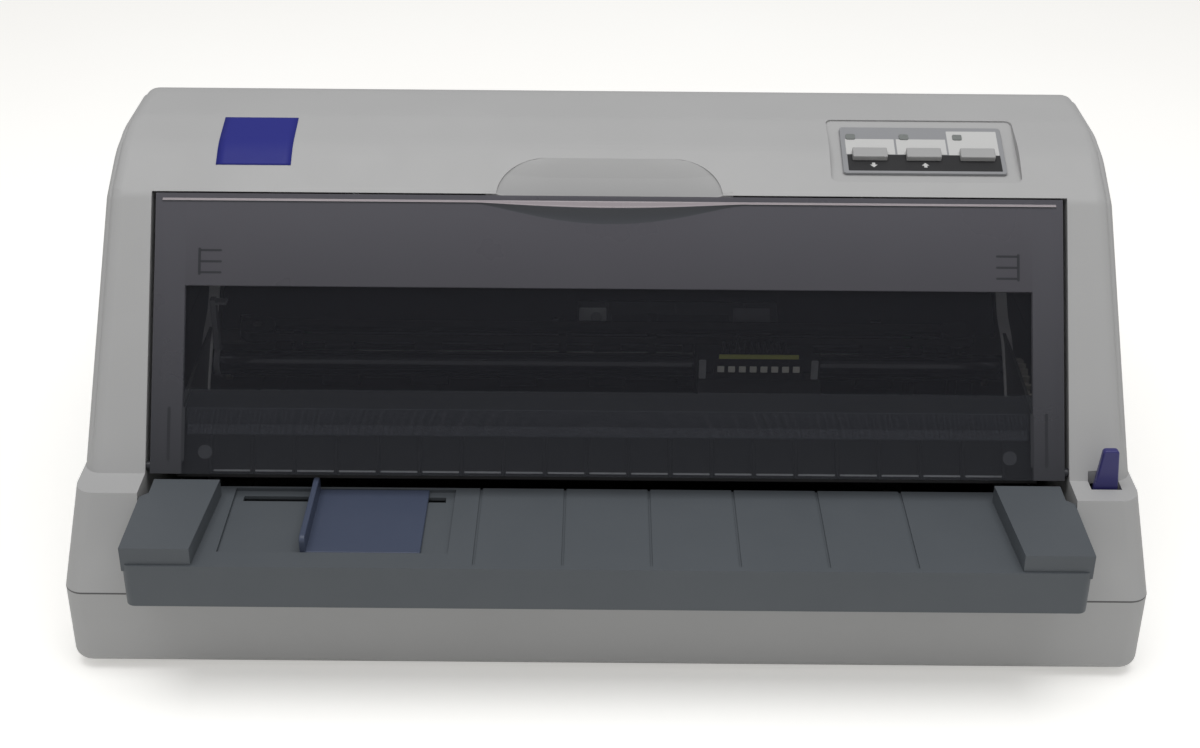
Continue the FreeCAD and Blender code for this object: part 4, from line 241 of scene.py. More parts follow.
class PrinterColours(bpy.types.PropertyGroup):
    housing: colour_property("Housing", "Pale grey of the housing and buttons", srgb(179, 179, 179))
    tray: colour_property("Tray", "Slate grey of the paper tray", srgb(87, 92, 97))
    guide: colour_property("Edge guide", "Slate blue of the sliding guide", srgb(73, 81, 101))
    cover_haze: colour_property("Cover haze", "Upper part of the smoked cover", srgb(97, 96, 103))
    cover_side: colour_property("Cover side", "Foot of the smoked cover's side borders", srgb(66, 67, 72))
    cover_foot: colour_property("Cover foot", "Lower part of the smoked cover", srgb(52, 54, 60))
    smoke: colour_property("Smoke", "Tint of the clear window", srgb(62, 63, 70))
    foam: colour_property("Foam", "Foam strip behind the cover's foot", srgb(88, 90, 98))
    black: colour_property("Black", "Black plastic inside", srgb(26, 26, 28))
    lever: colour_property("Lever", "Blue of the levers", srgb(58, 56, 116))
    badge: colour_property("Badge", "Blue of the bare badge plate", srgb(42, 46, 130))
    steel: colour_property("Steel", "Zinc plated sheet", srgb(150, 152, 150))
    bright: colour_property("Bright steel", "Ground shafts", srgb(196, 198, 200))


class PrinterSizes(bpy.types.PropertyGroup):
    edge_round: length_property("Edge rounding", "Radius along the housing's long edges", 5 * MM)
    break_edge: length_property("Broken edge", "Radius along every other moulded edge", 0.5 * MM)
    window_low: length_property("Window foot", "Height of the clear window's foot up the cover", 37 * MM)
    window_high: length_property("Window top", "Height of the clear window's top up the cover", 82 * MM)
    window_half: length_property("Window half width", "Half the clear window's width", 184.5 * MM)


class PrinterStage(bpy.types.PropertyGroup):
    lens: bpy.props.FloatProperty(name="Lens", description="Focal length in millimetres", unit="CAMERA",
                                  min=1, default=55.5)
    tilt: bpy.props.FloatProperty(name="Tilt", description="Camera's angle below level", subtype="ANGLE",
                                  default=math.radians(29))
    roll: bpy.props.FloatProperty(name="Roll", description="Camera's roll", subtype="ANGLE",
                                  default=math.radians(0.47))
    key_power: bpy.props.FloatProperty(name="Key light", description="Power of the soft light in watts",
                                       unit="POWER", min=0, default=12.6)
    sky: bpy.props.FloatProperty(name="Sky", description="Strength of the even light all round", min=0,
                                 default=0.33)


# Meshes

def values_of(items, name, width, kind=float):
    """A value of each vertex, face or corner of a mesh, as rows of an array."""
    values = np.empty(len(items) * width, dtype=kind)
    items.foreach_get(name, values)
    return values.reshape(-1, width)


def welded(node, planes=()):
    """A welded copy of a node's mesh in which each flat is one face, cut along any planes given.

    Each plane is a point and a normal, in metres, and how far from the middle a face must lie to be cut.
    The cuts add edges and leave the shape as it is."""
    source = frame["nodes"][node].data
    points = values_of(source.vertices, "co", 3)
    corners = values_of(source.loops, "vertex_index", 1, int)
    mesh = bpy.data.meshes.new(node + "_finished")
    mesh.from_pydata(points.tolist(), [], corners.reshape(-1, 3).tolist())
    form = bmesh.new()
    form.from_mesh(mesh)
    bmesh.ops.remove_doubles(form, verts=form.verts, dist=MERGE_DISTANCE)
    bmesh.ops.dissolve_limit(form, angle_limit=FLAT_ANGLE, verts=form.verts, edges=form.edges)
    for point, normal, reach in planes:
        faces = [face for face in form.faces if abs(face.calc_center_bounds().x) >= reach]
        parts = list({part for face in faces for part in face.verts[:] + face.edges[:]}) + faces
        bmesh.ops.bisect_plane(form, geom=parts, dist=1e-6, plane_co=point, plane_no=normal)
    form.to_mesh(mesh)
    form.free()
    return mesh


def add_piece(name, mesh, body, finishes):
    """An object at the origin that rides on a body, with its finishes in order, by name."""
    piece = bpy.data.objects.new(name, mesh)
    bpy.context.scene.collection.objects.link(piece)
    mesh.materials.clear()
    for finish in finishes:
        mesh.materials.append(finish_of(finish))
    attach(piece, body)
    return piece


def break_edges(piece, width, angle=26, segments=2, clamp=True):
    """Rounds each edge sharper than the angle, and evens the shading over the flats."""
    piece.data.shade_smooth()
    bevel = piece.modifiers.new("Broken edges", "BEVEL")
    bevel.width = width
    bevel.segments = segments
    bevel.limit_method = "ANGLE"
    bevel.angle_limit = math.radians(angle)
    bevel.use_clamp_overlap = clamp
    bevel.miter_outer = "MITER_ARC"
    even = piece.modifiers.new("Even shading", "WEIGHTED_NORMAL")
    even.mode = "FACE_AREA"
    even.weight = 100
    even.keep_sharp = True
    return piece


# CAD nodes that a finished copy stands for
FINISHED = set()


def node_body(node):
    """The body that a CAD node belongs to."""
    for body, members in frame["record"]["behaviour"]["bodies"].items():
        if node in members:
            return body
    raise RuntimeError(node + " is on no body")


def node_slot(node):
    """The material slot of a CAD node."""
    rows = frame["record"]["subparts"]
    return next(row["material_slot"] for row in rows if row["node"] == node)


def finished(node, finishes, width, planes=(), shape=None, **options):
    """A finished copy of a CAD node, with broken edges, that stands for it."""
    mesh = welded(node, planes)
    if shape:
        reshape(mesh, shape)
    piece = add_piece(node + "_finish", mesh, node_body(node), finishes)
    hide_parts(node)
    FINISHED.add(node)
    return break_edges(piece, width, **options)


def reshape(mesh, shape):
    """Moves a mesh's vertices as whole arrays: shape takes and gives an (n, 3) array in metres."""
    points = values_of(mesh.vertices, "co", 3)
    mesh.vertices.foreach_set("co", shape(points).ravel())
    mesh.update()


def grid_mesh(name, points, closed=False):
    """A mesh of four-sided faces over an array of points shaped (rows, columns, 3).

    A closed one joins each row's end to its start."""
    rows, columns = points.shape[:2]
    index = np.arange(rows * columns).reshape(rows, columns)
    if closed:
        index = np.concatenate([index, index[:, :1]], axis=1)
    faces = np.stack([index[:-1, :-1], index[:-1, 1:], index[1:, 1:], index[1:, :-1]], axis=-1)
    mesh = bpy.data.meshes.new(name)
    mesh.from_pydata(points.reshape(-1, 3).tolist(), [], faces.reshape(-1, 4).tolist())
    mesh.shade_smooth()
    return mesh


def thicken(piece, thickness):
    """Gives a sheet a wall that goes inwards from it."""
    wall = piece.modifiers.new("Wall", "SOLIDIFY")
    wall.thickness = thickness
    wall.offset = -1
    return piece


def rounded_plate(name, half_u, half_v, radius, low, high, place, steps=8):
    """A flat plate with rounded corners, whose outline is carried from level low to level high.

    The outline is four quarter circles of the corner radius, joined by straight sides. place maps the plate's
    own coordinates, across, up and outward, to space."""
    turn = np.linspace(0, math.pi / 2, steps)
    outline = []
    for quarter, (sign_u, sign_v) in enumerate(((1, 1), (-1, 1), (-1, -1), (1, -1))):
        angle = turn + quarter * math.pi / 2
        outline.append(np.stack([sign_u * (half_u - radius) + radius * np.cos(angle),
                                 sign_v * (half_v - radius) + radius * np.sin(angle)], axis=1))
    ring = np.concatenate(outline)
    count = len(ring)
    levels = [np.concatenate([ring, np.full((count, 1), w)], axis=1) for w in (low, high)]
    points = place(np.concatenate(levels))
    index = np.arange(count)
    walls = np.stack([index, np.roll(index, -1), np.roll(index, -1) + count, index + count], axis=1)
    faces = [index[::-1].tolist(), (index + count).tolist()] + walls.tolist()
    mesh = bpy.data.meshes.new(name)
    mesh.from_pydata(points.tolist(), [], faces)
    return mesh


def on_slope(origin, angle):
    """A function from a slope's coordinates in millimetres, across, up and outward, to metres in space."""
    def place(points):
        across, up, out = points.T
        y = origin[1] + up * math.cos(angle) - out * math.sin(angle)
        z = origin[2] + up * math.sin(angle) + out * math.cos(angle)
        return np.stack([origin[0] + across, y, z], axis=1) * MM

    return place


on_panel = on_slope(PANEL_CENTRE, PANEL_ANGLE)
on_cover = on_slope((0, *SLOPE_FOOT), COVER_ANGLE)
on_inner_cover = on_slope((0, *INNER_COVER), INNER_ANGLE)


def on_front(points):
    """Upright coordinates in millimetres, across, up and towards the front, to metres in space."""
    across, up, out = points.T
    return np.stack([across, -out, up], axis=1) * MM


def plate_on(name, surface, middle, half, corner, levels):
    """A rounded plate on one of these surfaces, about a middle given across, up and outward."""
    return rounded_plate(name, *half, corner, *levels, lambda points: surface(points + np.array(middle)))


def inward_normal(first, second):
    """Unit normal of a side view line that points into the housing, for a line that runs up and back."""
    run, rise = second[0] - first[0], second[1] - first[1]
    length = math.hypot(run, rise)
    return rise / length, -run / length


PROFILE = [SLOPE_FOOT, SLOPE_TOP, BROW, CROWN, CROWN_BACK, REAR_TOP, REAR_FOOT]
PROFILE_LINES = [(start, inward_normal(start, end)) for start, end in zip(PROFILE, PROFILE[1:])]
SIDE_SLOPE = math.atan2(SIDE_LOW[0] - SIDE_HIGH[0], SIDE_HIGH[1] - SIDE_LOW[1])


def soften_housing(radius):
    """Rounds the long edges where the housing's side view meets its front view.

    With u and v the distances that a point lies inside the rounded zone of the two views, the square level
    lines max(u, v) = constant become circles of the same radius, so walls keep their thickness."""
    r = radius / MM

    def shape(points):
        x, y, z = (points / MM).T
        depths = np.stack([(y - start[0]) * normal[0] + (z - start[1]) * normal[1]
                           for start, normal in PROFILE_LINES])
        nearest = depths.min(axis=0)
        weights = np.exp(-(depths - nearest) / BLEND)
        weights /= weights.sum(axis=0)
        normals = np.array([normal for _, normal in PROFILE_LINES])
        inward = weights.T @ normals
        side = (SIDE_LOW[0] - np.abs(x)) * math.cos(SIDE_SLOPE) - (z - SIDE_LOW[1]) * math.sin(SIDE_SLOPE)
        u, v = r - nearest, r - side
        fade = np.clip((z - SIDE_LOW[1]) / FADE, 0, 1)
        inside = (u > 0) & (v > 0) & (fade > 0)
        reach = np.hypot(u, v)
        keep = np.where(inside, np.maximum(u, v) / np.where(inside, reach, 1), 1)
        push_u = u * (1 - keep) * fade
        push_v = v * (1 - keep) * fade
        x = x - np.sign(x) * push_v * math.cos(SIDE_SLOPE)
        y = y + inward[:, 0] * push_u
        z = z + inward[:, 1] * push_u - push_v * math.sin(SIDE_SLOPE)
        return np.stack([x, y, z], axis=1) * MM

    return shape


def scoop_outline(rise):
    """Half width of the modelled scoop at a height up the brow: a straight side, then a corner arc."""
    lean = (SCOOP_HALF - SCOOP_TOP_HALF) / SCOOP_REACH
    tangent = SCOOP_CORNER * math.tan(math.atan(1 / lean) / 2)
    start = SCOOP_REACH - tangent / math.hypot(1, lean)
    side = SCOOP_HALF - lean * rise
    arc = np.sqrt(np.clip(SCOOP_CORNER ** 2 - (rise - SCOOP_REACH + SCOOP_CORNER) ** 2, 0, None))
    return np.where(rise < start, side, SCOOP_TOP_HALF - tangent + arc)


def dish_scoop(points):
    """Turns the scoop's straight sides into quarter ellipses and its steep walls into a dished floor.

    Sideways, points near the modelled outline move with it to the ellipse, and the move fades out beside
    it. Inward, the floor rises towards the outline as a high power of the share of the way out."""
    x, y, z = (points / MM).T
    run, rise = np.array(BROW) - np.array(SLOPE_TOP)
    length = math.hypot(run, rise)
    up = ((y - SLOPE_TOP[0]) * run + (z - SLOPE_TOP[1]) * rise) / length
    depth = ((y - SLOPE_TOP[0]) * rise - (z - SLOPE_TOP[1]) * run) / length
    level = np.clip(up, 0, SCOOP_REACH)
    outline = scoop_outline(level)
    oval = OVAL_FLAT + OVAL_SIDE * np.sqrt(1 - (level / SCOOP_REACH) ** 2)
    beside = np.abs(x) < SCOOP_HALF + SCOOP_FADE
    along = (up > -SCOOP_MARGIN) & (up < SCOOP_REACH + SCOOP_SLACK)
    near = beside & along & (depth > -SCOOP_MARGIN) & (depth < SCOOP_INSIDE)
    outside = np.clip(1 - (np.abs(x) - outline) / SCOOP_FADE, 0, 1)
    inside = (np.abs(x) / outline) ** 2
    move = np.where(np.abs(x) > outline, outside, inside) * (oval - outline)
    x = np.where(near, x + np.sign(x) * move, x)
    share = np.clip(np.abs(x) / oval, 0, 1) ** OVAL_POWER
    ramp = SCOOP_DEPTH * (1 - level / SCOOP_REACH)
    lift = np.where(near & (depth > SCOOP_SLACK), np.minimum(ramp * share, depth), 0)
    y = y - lift * rise / length
    z = z + lift * run / length
    return np.stack([x, y, z], axis=1) * MM


def scoop_planes():
    """Planes that cut the brow finely enough around the scoop, closer together towards its top."""
    run, rise = np.array(BROW) - np.array(SLOPE_TOP)
    normal = Vector((0, run, rise)).normalized()
    foot = Vector((0, *SLOPE_TOP)) * MM
    shares = np.sin(np.linspace(0.1, 1.5, 9))
    planes = [(foot + normal * share * SCOOP_REACH * MM, normal, 0) for share in shares]
    planes += [(Vector((sign * across * MM, 0, 0)), Vector((1, 0, 0)), 0)
               for sign in (-1, 1) for across in SCOOP_CUTS]
    return planes


def rounding_planes(radius, steps=7):
    """Planes that cut the mesh finely enough along the rounded zones.

    First come the front view's, and then, only where these end, the side view's."""
    turn = np.linspace(0, math.pi / 4, steps)[1:]
    depths = np.concatenate([radius / MM * (1 - np.tan(turn)[::-1]), [radius / MM]])
    planes = []
    for sign in (-1, 1):
        for depth in depths:
            point = Vector((sign * (SIDE_LOW[0] - depth * math.cos(SIDE_SLOPE)), 0,
                            SIDE_LOW[1] - depth * math.sin(SIDE_SLOPE))) * MM
            planes.append((point, Vector((sign * math.cos(SIDE_SLOPE), 0, math.sin(SIDE_SLOPE))), 0))
    edge = (SIDE_HIGH[0] - radius / MM) * MM
    for start, normal in PROFILE_LINES[:5]:
        for depth in depths:
            point = Vector((0, start[0] + normal[0] * depth, start[1] + normal[1] * depth)) * MM
            planes.append((point, Vector((0, *normal)), edge))
    for height in np.linspace(0, FADE, 5):
        planes.append((Vector((0, 0, (SIDE_LOW[1] + height) * MM)), Vector((0, 0, 1)), edge))
    return planes


# Materials

def new_material(name):
    """A material with its node tree, its shader and the Object coordinates."""
    material = bpy.data.materials.new(name)
    material.use_nodes = True
    nodes = material.node_tree.nodes
    shader = nodes["Principled BSDF"]
    place = nodes.new("ShaderNodeTexCoord")
    return material, material.node_tree, shader, place.outputs["Object"]


def wire(tree, node, inputs):
    """Gives each of a node's inputs its value, or the output that links to it."""
    for name, value in inputs.items():
        if isinstance(value, bpy.types.NodeSocket):
            tree.links.new(value, node.inputs[name])
        else:
            node.inputs[name].default_value = value


def add_node(tree, kind, inputs, **settings):
    """A shader node of a kind, with its settings and then its inputs."""
    node = tree.nodes.new("ShaderNode" + kind)
    for name, value in settings.items():
        setattr(node, name, value)
    wire(tree, node, inputs)
    return node


def noise(tree, vector, scale, detail=3.0):
    """The value of a noise."""
    inputs = {"Vector": vector, "Scale": scale, "Detail": detail, "Roughness": 0.55}
    return add_node(tree, "TexNoise", inputs).outputs["Fac"]


def spread(tree, value, low, high, span=(0.3, 0.7)):
    """Maps a value's span, by default where most of a noise lies, to a range."""
    inputs = {"Value": value, "From Min": span[0], "From Max": span[1], "To Min": low, "To Max": high}
    return add_node(tree, "MapRange", inputs).outputs["Result"]


def tinted(tree, value, first, second):
    """A mix of two colours by a value."""
    inputs = {"Factor": value, "A": (*first, 1), "B": (*second, 1)}
    return add_node(tree, "Mix", inputs, data_type="RGBA").outputs["Result"]


def height_of(tree, place):
    """The height of a place, in metres."""
    return add_node(tree, "SeparateXYZ", {"Vector": place}).outputs["Z"]


def camera_ray(tree):
    """One for what the camera sees, and nothing for what lights other things."""
    return add_node(tree, "LightPath", {}).outputs["Is Camera Ray"]


def bump(tree, shader, value, distance):
    """Dents the surface by a value, to a depth in millimetres."""
    dent = add_node(tree, "Bump", {"Height": value, "Distance": distance * MM, "Strength": 1})
    wire(tree, shader, {"Normal": dent.outputs["Normal"]})


def shaded(colour, share):
    """A colour made darker, or lighter up to white, by a share."""
    return tuple(min(c * share, 1) for c in colour)


def moulded_plastic(name, colour, roughness, depth=MOULD_GRAIN, grain=2600, specular=0.4):
    """Moulded plastic: a fine even grain in the surface, and a slow drift of its colour."""
    material, tree, shader, place = new_material(name)
    drift = spread(tree, noise(tree, place, 14), 0, 1)
    wire(tree, shader, {
        "Base Color": tinted(tree, drift, shaded(colour, 0.98), shaded(colour, 1.02)),
        "Roughness": spread(tree, noise(tree, place, 60), roughness - 0.05, roughness + 0.05),
        "Specular IOR Level": specular})
    bump(tree, shader, noise(tree, place, grain, 2), depth)
    return material


def housing_plastic(name, colour):
    """Moulded plastic with painted shade in the groove along which the housing's two halves meet.

    The painted shade's share is one where the height is within SEAM_HALF of SEAM_HEIGHT, and nothing
    elsewhere."""
    material = moulded_plastic(name, colour, 0.52)
    tree = material.node_tree
    shader = next(node for node in tree.nodes if node.type == "BSDF_PRINCIPLED")
    place = next(node for node in tree.nodes if node.type == "TEX_COORD").outputs["Object"]
    # Painted shade in the groove: heights within SEAM_HALF of SEAM_HEIGHT get the colour darkened to three
    # tenths
    heights = {0: height_of(tree, place), 1: SEAM_HEIGHT * MM, 2: SEAM_HALF * MM}
    groove = add_node(tree, "Math", heights, operation="COMPARE")
    seam_shaded = tinted(tree, groove.outputs["Value"], colour, shaded(colour, 0.3))
    wire(tree, seam_shaded.node, {"A": shader.inputs["Base Color"].links[0].from_socket})
    wire(tree, shader, {"Base Color": seam_shaded})
    return material


def metal(name, colour, roughness, streaks=(1, 40, 40), scale=30, depth=METAL_GRAIN):
    """Metal with faint streaks from its rolling or grinding."""
    material, tree, shader, place = new_material(name)
    stretch = add_node(tree, "Mapping", {"Vector": place, "Scale": streaks})
    value = noise(tree, stretch.outputs["Vector"], scale, 4)
    wire(tree, shader, {
        "Base Color": tinted(tree, spread(tree, value, 0, 1), shaded(colour, 0.82), colour),
        "Roughness": spread(tree, value, roughness - 0.06, roughness + 0.08),
        "Metallic": 1})
    bump(tree, shader, value, depth)
    return material


def cover_plastic(name, low, high, span, alpha, roughness=0.3):
    """Smoked plastic that lets part of the light through.

    Its colour runs from low to high over a span of heights, in metres; where the two differ, the darker foot
    and lighter top are painted shade and light."""
    material, tree, shader, place = new_material(name)
    wire(tree, shader, {
        "Base Color": tinted(tree, spread(tree, height_of(tree, place), 0, 1, span), low, high),
        "Roughness": spread(tree, noise(tree, place, 30), roughness - 0.04, roughness + 0.04),
        "Specular IOR Level": 0.35,
        "Alpha": alpha})
    bump(tree, shader, noise(tree, place, 3200, 2), SATIN_GRAIN)
    return material


def foam_material(name, colour):
    """Open foam: small cells that darken and dent the surface."""
    material, tree, shader, place = new_material(name)
    cells = add_node(tree, "TexVoronoi", {"Vector": place, "Scale": 1400}).outputs["Distance"]
    wire(tree, shader, {
        "Base Color": tinted(tree, cells, shaded(colour, 0.45), colour),
        "Roughness": 0.95,
        "Specular IOR Level": 0.1})
    bump(tree, shader, cells, FOAM_GRAIN)
    return material


def board_material(name, colour):
    """Circuit board: copper tracks show as paler lines under a glossy green resist."""
    material, tree, shader, place = new_material(name)
    tracks = add_node(tree, "TexBrick", {
        "Vector": place,
        "Scale": 90,
        "Mortar Size": 0.03,
        "Color1": (*colour, 1),
        "Color2": (*shaded(colour, 0.9), 1),
        "Mortar": (*shaded(colour, 1.8), 1)})
    wire(tree, shader, {"Base Color": tracks.outputs["Color"], "Roughness": 0.3})
    bump(tree, shader, tracks.outputs["Fac"], MOULD_GRAIN)
    return material


def finishes():
    """Every finish of the printer: the material slots' by their names, then those of single pieces."""
    colours = bpy.context.scene.printer_colours
    own = {name: tuple(getattr(colours, name)) for name in PrinterColours.__annotations__}
    smoke, side, haze, foot = own["smoke"], own["cover_side"], own["cover_haze"], own["cover_foot"]
    plastic = {
        "white_buttons": ("Pale buttons", shaded(own["housing"], 0.88), 0.42, SATIN_GRAIN),
        "dark_tray": ("Slate tray", own["tray"], 0.5),
        "slate_guide": ("Slate guide", own["guide"], 0.36, SATIN_GRAIN),
        "black_plastic": ("Black plastic", own["black"], 0.42),
        "blue_lever": ("Blue lever", own["lever"], 0.32, SATIN_GRAIN),
        "panel_film": ("Panel film", srgb(150, 151, 154), 0.35, SMOOTH_GRAIN),
        "black_rubber": ("Black rubber", srgb(30, 30, 31), 0.75, 0.04, 1800),
        "belt_rubber": ("Belt rubber", srgb(24, 24, 25), 0.7),
        "gear_plastic": ("Natural gear plastic", srgb(214, 210, 198), 0.4),
        "tractor_plastic": ("Dark tractor plastic", srgb(48, 48, 52), 0.45),
        "grey_lever": ("Grey lever", srgb(150, 151, 156), 0.4),
        # Lip below the cover's top edge: pale as its painted highlight, and the hollow under it dark as its
        # painted shade
        "grip_lip_highlight": ("Smoked lip", srgb(158, 150, 154), 0.25, PRINT_GRAIN),
        "grip_hollow_shade": ("Smoked hollow", srgb(70, 72, 77), 0.45, PRINT_GRAIN),
        "rib_mark": ("Rib shadow", srgb(48, 49, 54), 0.4, PRINT_GRAIN),
        "pivot_boss": ("Pivot boss", srgb(112, 114, 120), 0.5, PRINT_GRAIN),
        "white": ("White print", srgb(204, 204, 203), 0.4, PRINT_GRAIN),
        "black": ("Black print", srgb(38, 38, 40), 0.4, PRINT_GRAIN),
        "lamp": ("Unlit lamp", srgb(126, 130, 128), 0.25, LAMP_GRAIN),
        "badge": ("Badge blue", own["badge"], 0.5, PRINT_GRAIN, 2600, 0.2),
        # Side frames' bent steel front edges, near white as their painted highlight
        "frame_edge": ("Frame edge", srgb(244, 244, 246), 0.35, SMOOTH_GRAIN),
        "screw": ("Screw heads", srgb(165, 168, 172), 0.3, SMOOTH_GRAIN),
        "strip": ("Ribbon strip", srgb(178, 182, 96), 0.4, SMOOTH_GRAIN),
        "bracket": ("Carriage brackets", srgb(150, 152, 156), 0.4, SMOOTH_GRAIN),
        # Pale bars on the black ribbed guide's lower edge: painted highlight
        "guide_lip": ("Guide lip", srgb(212, 215, 220), 0.3, SMOOTH_GRAIN),
        "terminals": ("Tinned terminals", srgb(222, 222, 214), 0.3, SMOOTH_GRAIN),
    }
    for name, _, _, _, _, levels in HATCH_PIECES:
        plastic[name] = (name.replace("_", " ").capitalize(), srgb(*levels), 0.4, SMOOTH_GRAIN)
    steel = {
        "zinc_steel": ("Zinc plated steel", own["steel"], 0.42),
        "bright_steel": ("Bright steel", own["bright"], 0.16, (1, 90, 90)),
        "head_metal": ("Die-cast head", srgb(92, 92, 94), 0.45, (1, 1, 1), 300, 0.02),
        "motor_metal": ("Dark lacquered metal", srgb(52, 52, 55), 0.4, (1, 1, 1), 200),
        "port_metal": ("Plated port", srgb(170, 170, 168), 0.3),
        "carriage_shaft": ("Dark ground shaft", srgb(70, 71, 74), 0.12, (1, 90, 90)),
    }
    # Painted shade and light: where a smoked part's two colours differ, its lower part is painted darker and
    # its upper part lighter
    smoked = {
        "smoked_cover": ("Smoked cover", smoke, smoke, (0.08, 0.19), 0.6),
        "cover_haze": ("Smoked haze", shaded(haze, 0.72), haze, (0.15, 0.188), 0.82),
        "cover_foot": ("Smoked foot", foot, foot, (0.08, 0.12), 0.38),
        "cover_window": ("Smoked window", smoke, smoke, (0.08, 0.12), 0.16, 0.08),
        "cover_side": ("Smoked side", side, haze, (0.08, 0.19), 0.8),
        "cover_rib": ("Smoked rib", side, haze, (0.08, 0.19), 1),
    }
    made = {"pale_housing": (housing_plastic, ("Pale housing", own["housing"])),
            "black_foam": (foam_material, ("Foam", own["foam"])),
            "board": (board_material, ("Circuit board", srgb(30, 92, 52)))}
    for make, group in ((moulded_plastic, plastic), (metal, steel), (cover_plastic, smoked)):
        made.update({name: (make, values) for name, values in group.items()})
    return made


# Materials that are already made
MADE = {}


def finish_of(name):
    """The one material of a finish, made when it is first asked for."""
    if name not in MADE:
        make, values = finishes()[name]
        MADE[name] = make(*values)
    return MADE[name]


# Operators

class PRINTER_OT_housing(bpy.types.Operator):
    """Rounds the housing's long edges and gives both halves and the rear cover their grain"""
    bl_idname = "printer.housing"
    bl_label = "Housing"

    def execute(self, context):
        sizes = context.scene.printer_sizes
        plastic = ["pale_housing"]
        round_edges = soften_housing(sizes.edge_round)
        finished("upper_case", plastic, sizes.break_edge, rounding_planes(sizes.edge_round) + scoop_planes(),
                 lambda points: dish_scoop(round_edges(points)), angle=30)
        finished("lower_case", plastic, sizes.break_edge)
        finished("rear_cover", plastic, sizes.break_edge)
        finished("rubber_feet", ["black_rubber"], sizes.break_edge)
        return {"FINISHED"}


class PRINTER_OT_tray(bpy.types.Operator):
    """Finishes the paper tray and the edge guide that slides in it"""
    bl_idname = "printer.tray"
    bl_label = "Paper tray"

    def execute(self, context):
        sizes = context.scene.printer_sizes
        finished("paper_tray", ["dark_tray"], sizes.break_edge)
        finished("edge_guide", ["slate_guide"], sizes.break_edge, clamp=False)
        finished("entry_guide", ["black_plastic"], sizes.break_edge)
        finished("rear_guide", ["dark_tray"], sizes.break_edge / 2)
        return {"FINISHED"}


class PRINTER_OT_cover(bpy.types.Operator):
    """Splits the smoked cover into its clear window and its matt backed parts"""
    bl_idname = "printer.cover"
    bl_label = "Front cover"

    def execute(self, context):
        sizes = context.scene.printer_sizes
        up = Vector((0, math.cos(COVER_ANGLE), math.sin(COVER_ANGLE)))
        inward = Vector((0, math.sin(COVER_ANGLE), -math.cos(COVER_ANGLE)))
        foot = Vector((0, *SLOPE_FOOT)) * MM
        planes = [(foot + up * sizes.window_low, up, 0), (foot + up * sizes.window_high, up, 0)]
        planes += [(Vector((sign * sizes.window_half, 0, 0)), Vector((1, 0, 0)), 0) for sign in (-1, 1)]
        parts = ("cover_haze", "cover_foot", "cover_window", "cover_side", "cover_rib")
        cover = finished("front_cover", parts, sizes.break_edge, planes)
        faces = cover.data.polygons
        middles = values_of(faces, "center", 3) - np.array(foot)
        rise = middles @ np.array(up)
        cases = {"cover_rib": middles @ np.array(inward) > COVER_SKIN * MM,
                 "cover_side": np.abs(middles[:, 0]) > sizes.window_half,
                 "cover_foot": rise < sizes.window_low,
                 "cover_window": rise < sizes.window_high}
        which = np.select(list(cases.values()), [parts.index(part) for part in cases], 0)
        faces.foreach_set("material_index", which.astype(np.int32))
        finished("cover_foam", ["black_foam"], sizes.break_edge)
        grip = add_piece("cover_grip", grip_mesh(), "front_cover",
                         ["grip_hollow_shade", "grip_lip_highlight"])
        # The grid's first half goes up to the ridge and takes the hollow's painted shade; its second half,
        # from the ridge to the top, takes the lip's painted highlight
        faces = grip.data.polygons
        which = np.arange(len(faces)) * 2 // len(faces)
        faces.foreach_set("material_index", which.astype(np.int32))
        for side, name in ((-1, "left"), (1, "right")):
            # Dark plates painted as the shade of the inner ribs that show through the cover
            for index, mark in enumerate(RIB_SHADES):
                add_mark(f"rib_mark_{name}_{index}", side, mark, RIB_SHADE_OUT, "rib_mark")
            add_mark(f"pivot_boss_{name}", side, PIVOT_BOSS, PIVOT_BOSS_OUT, "pivot_boss")
        return {"FINISHED"}


def add_mark(name, side, mark, out, finish):
    """A thin plate that rides on the cover, on its left side for -1 or its right side for 1."""
    across, rise, half_across, half_up = mark
    mesh = plate_on(name, on_cover, (side * across, rise, 0), (half_across, half_up),
                    min(half_across, half_up) * MARK_CORNER, (out - MARK_THICKNESS, out))
    add_piece(name, mesh, "front_cover", [finish])


def grip_mesh(columns=161, rows=8):
    """Raised lip below the cover's top edge, which swells into the finger grip in the middle.

    Up the cover the lip rises from its foot as the square of the share of the way to its ridge, and falls
    from the ridge to its top as a half cosine. The swell is one minus the square of the share across the
    grip, to a power, and nothing beyond the grip; it moves the ridge and the foot down and out."""
    x = np.linspace(-GRIP_LIP_HALF, GRIP_LIP_HALF, columns)
    swell = np.clip(1 - (x / GRIP_HALF) ** 2, 0, 1) ** GRIP_POWER
    ridge = GRIP_RIDGE[0] + GRIP_RIDGE[1] * swell
    foot = ridge - GRIP_FOOT[0] - GRIP_FOOT[1] * swell
    height = GRIP_RISE[0] + GRIP_RISE[1] * swell
    share = np.linspace(0, 1, rows)[:, None]
    lower_v, lower_out = foot + (ridge - foot) * share, height * share ** 2
    upper_v = ridge + (GRIP_TOP - ridge) * share[1:]
    upper_out = height * (1 + np.cos(math.pi * share[1:])) / 2
    v = np.concatenate([lower_v, upper_v])
    out = np.concatenate([lower_out, upper_out]) - GRIP_SUNK
    points = np.stack([np.broadcast_to(x, v.shape), v, out], axis=-1)
    return grid_mesh("cover_grip", on_cover(points.reshape(-1, 3)).reshape(points.shape))


def lengths_along(line):
    """How far along a side view line each of its points lies."""
    return np.concatenate([[0], np.cumsum(np.hypot(*np.diff(line, axis=0).T))])


def smoothed(line, reach, half, samples):
    """Points at distances along a line, each the mean of the line over half a length each way."""
    line = np.array(line)
    window = reach[:, None] + np.linspace(-half, half, samples)
    return [np.interp(window, lengths_along(line), side).mean(axis=1) for side in line.T]


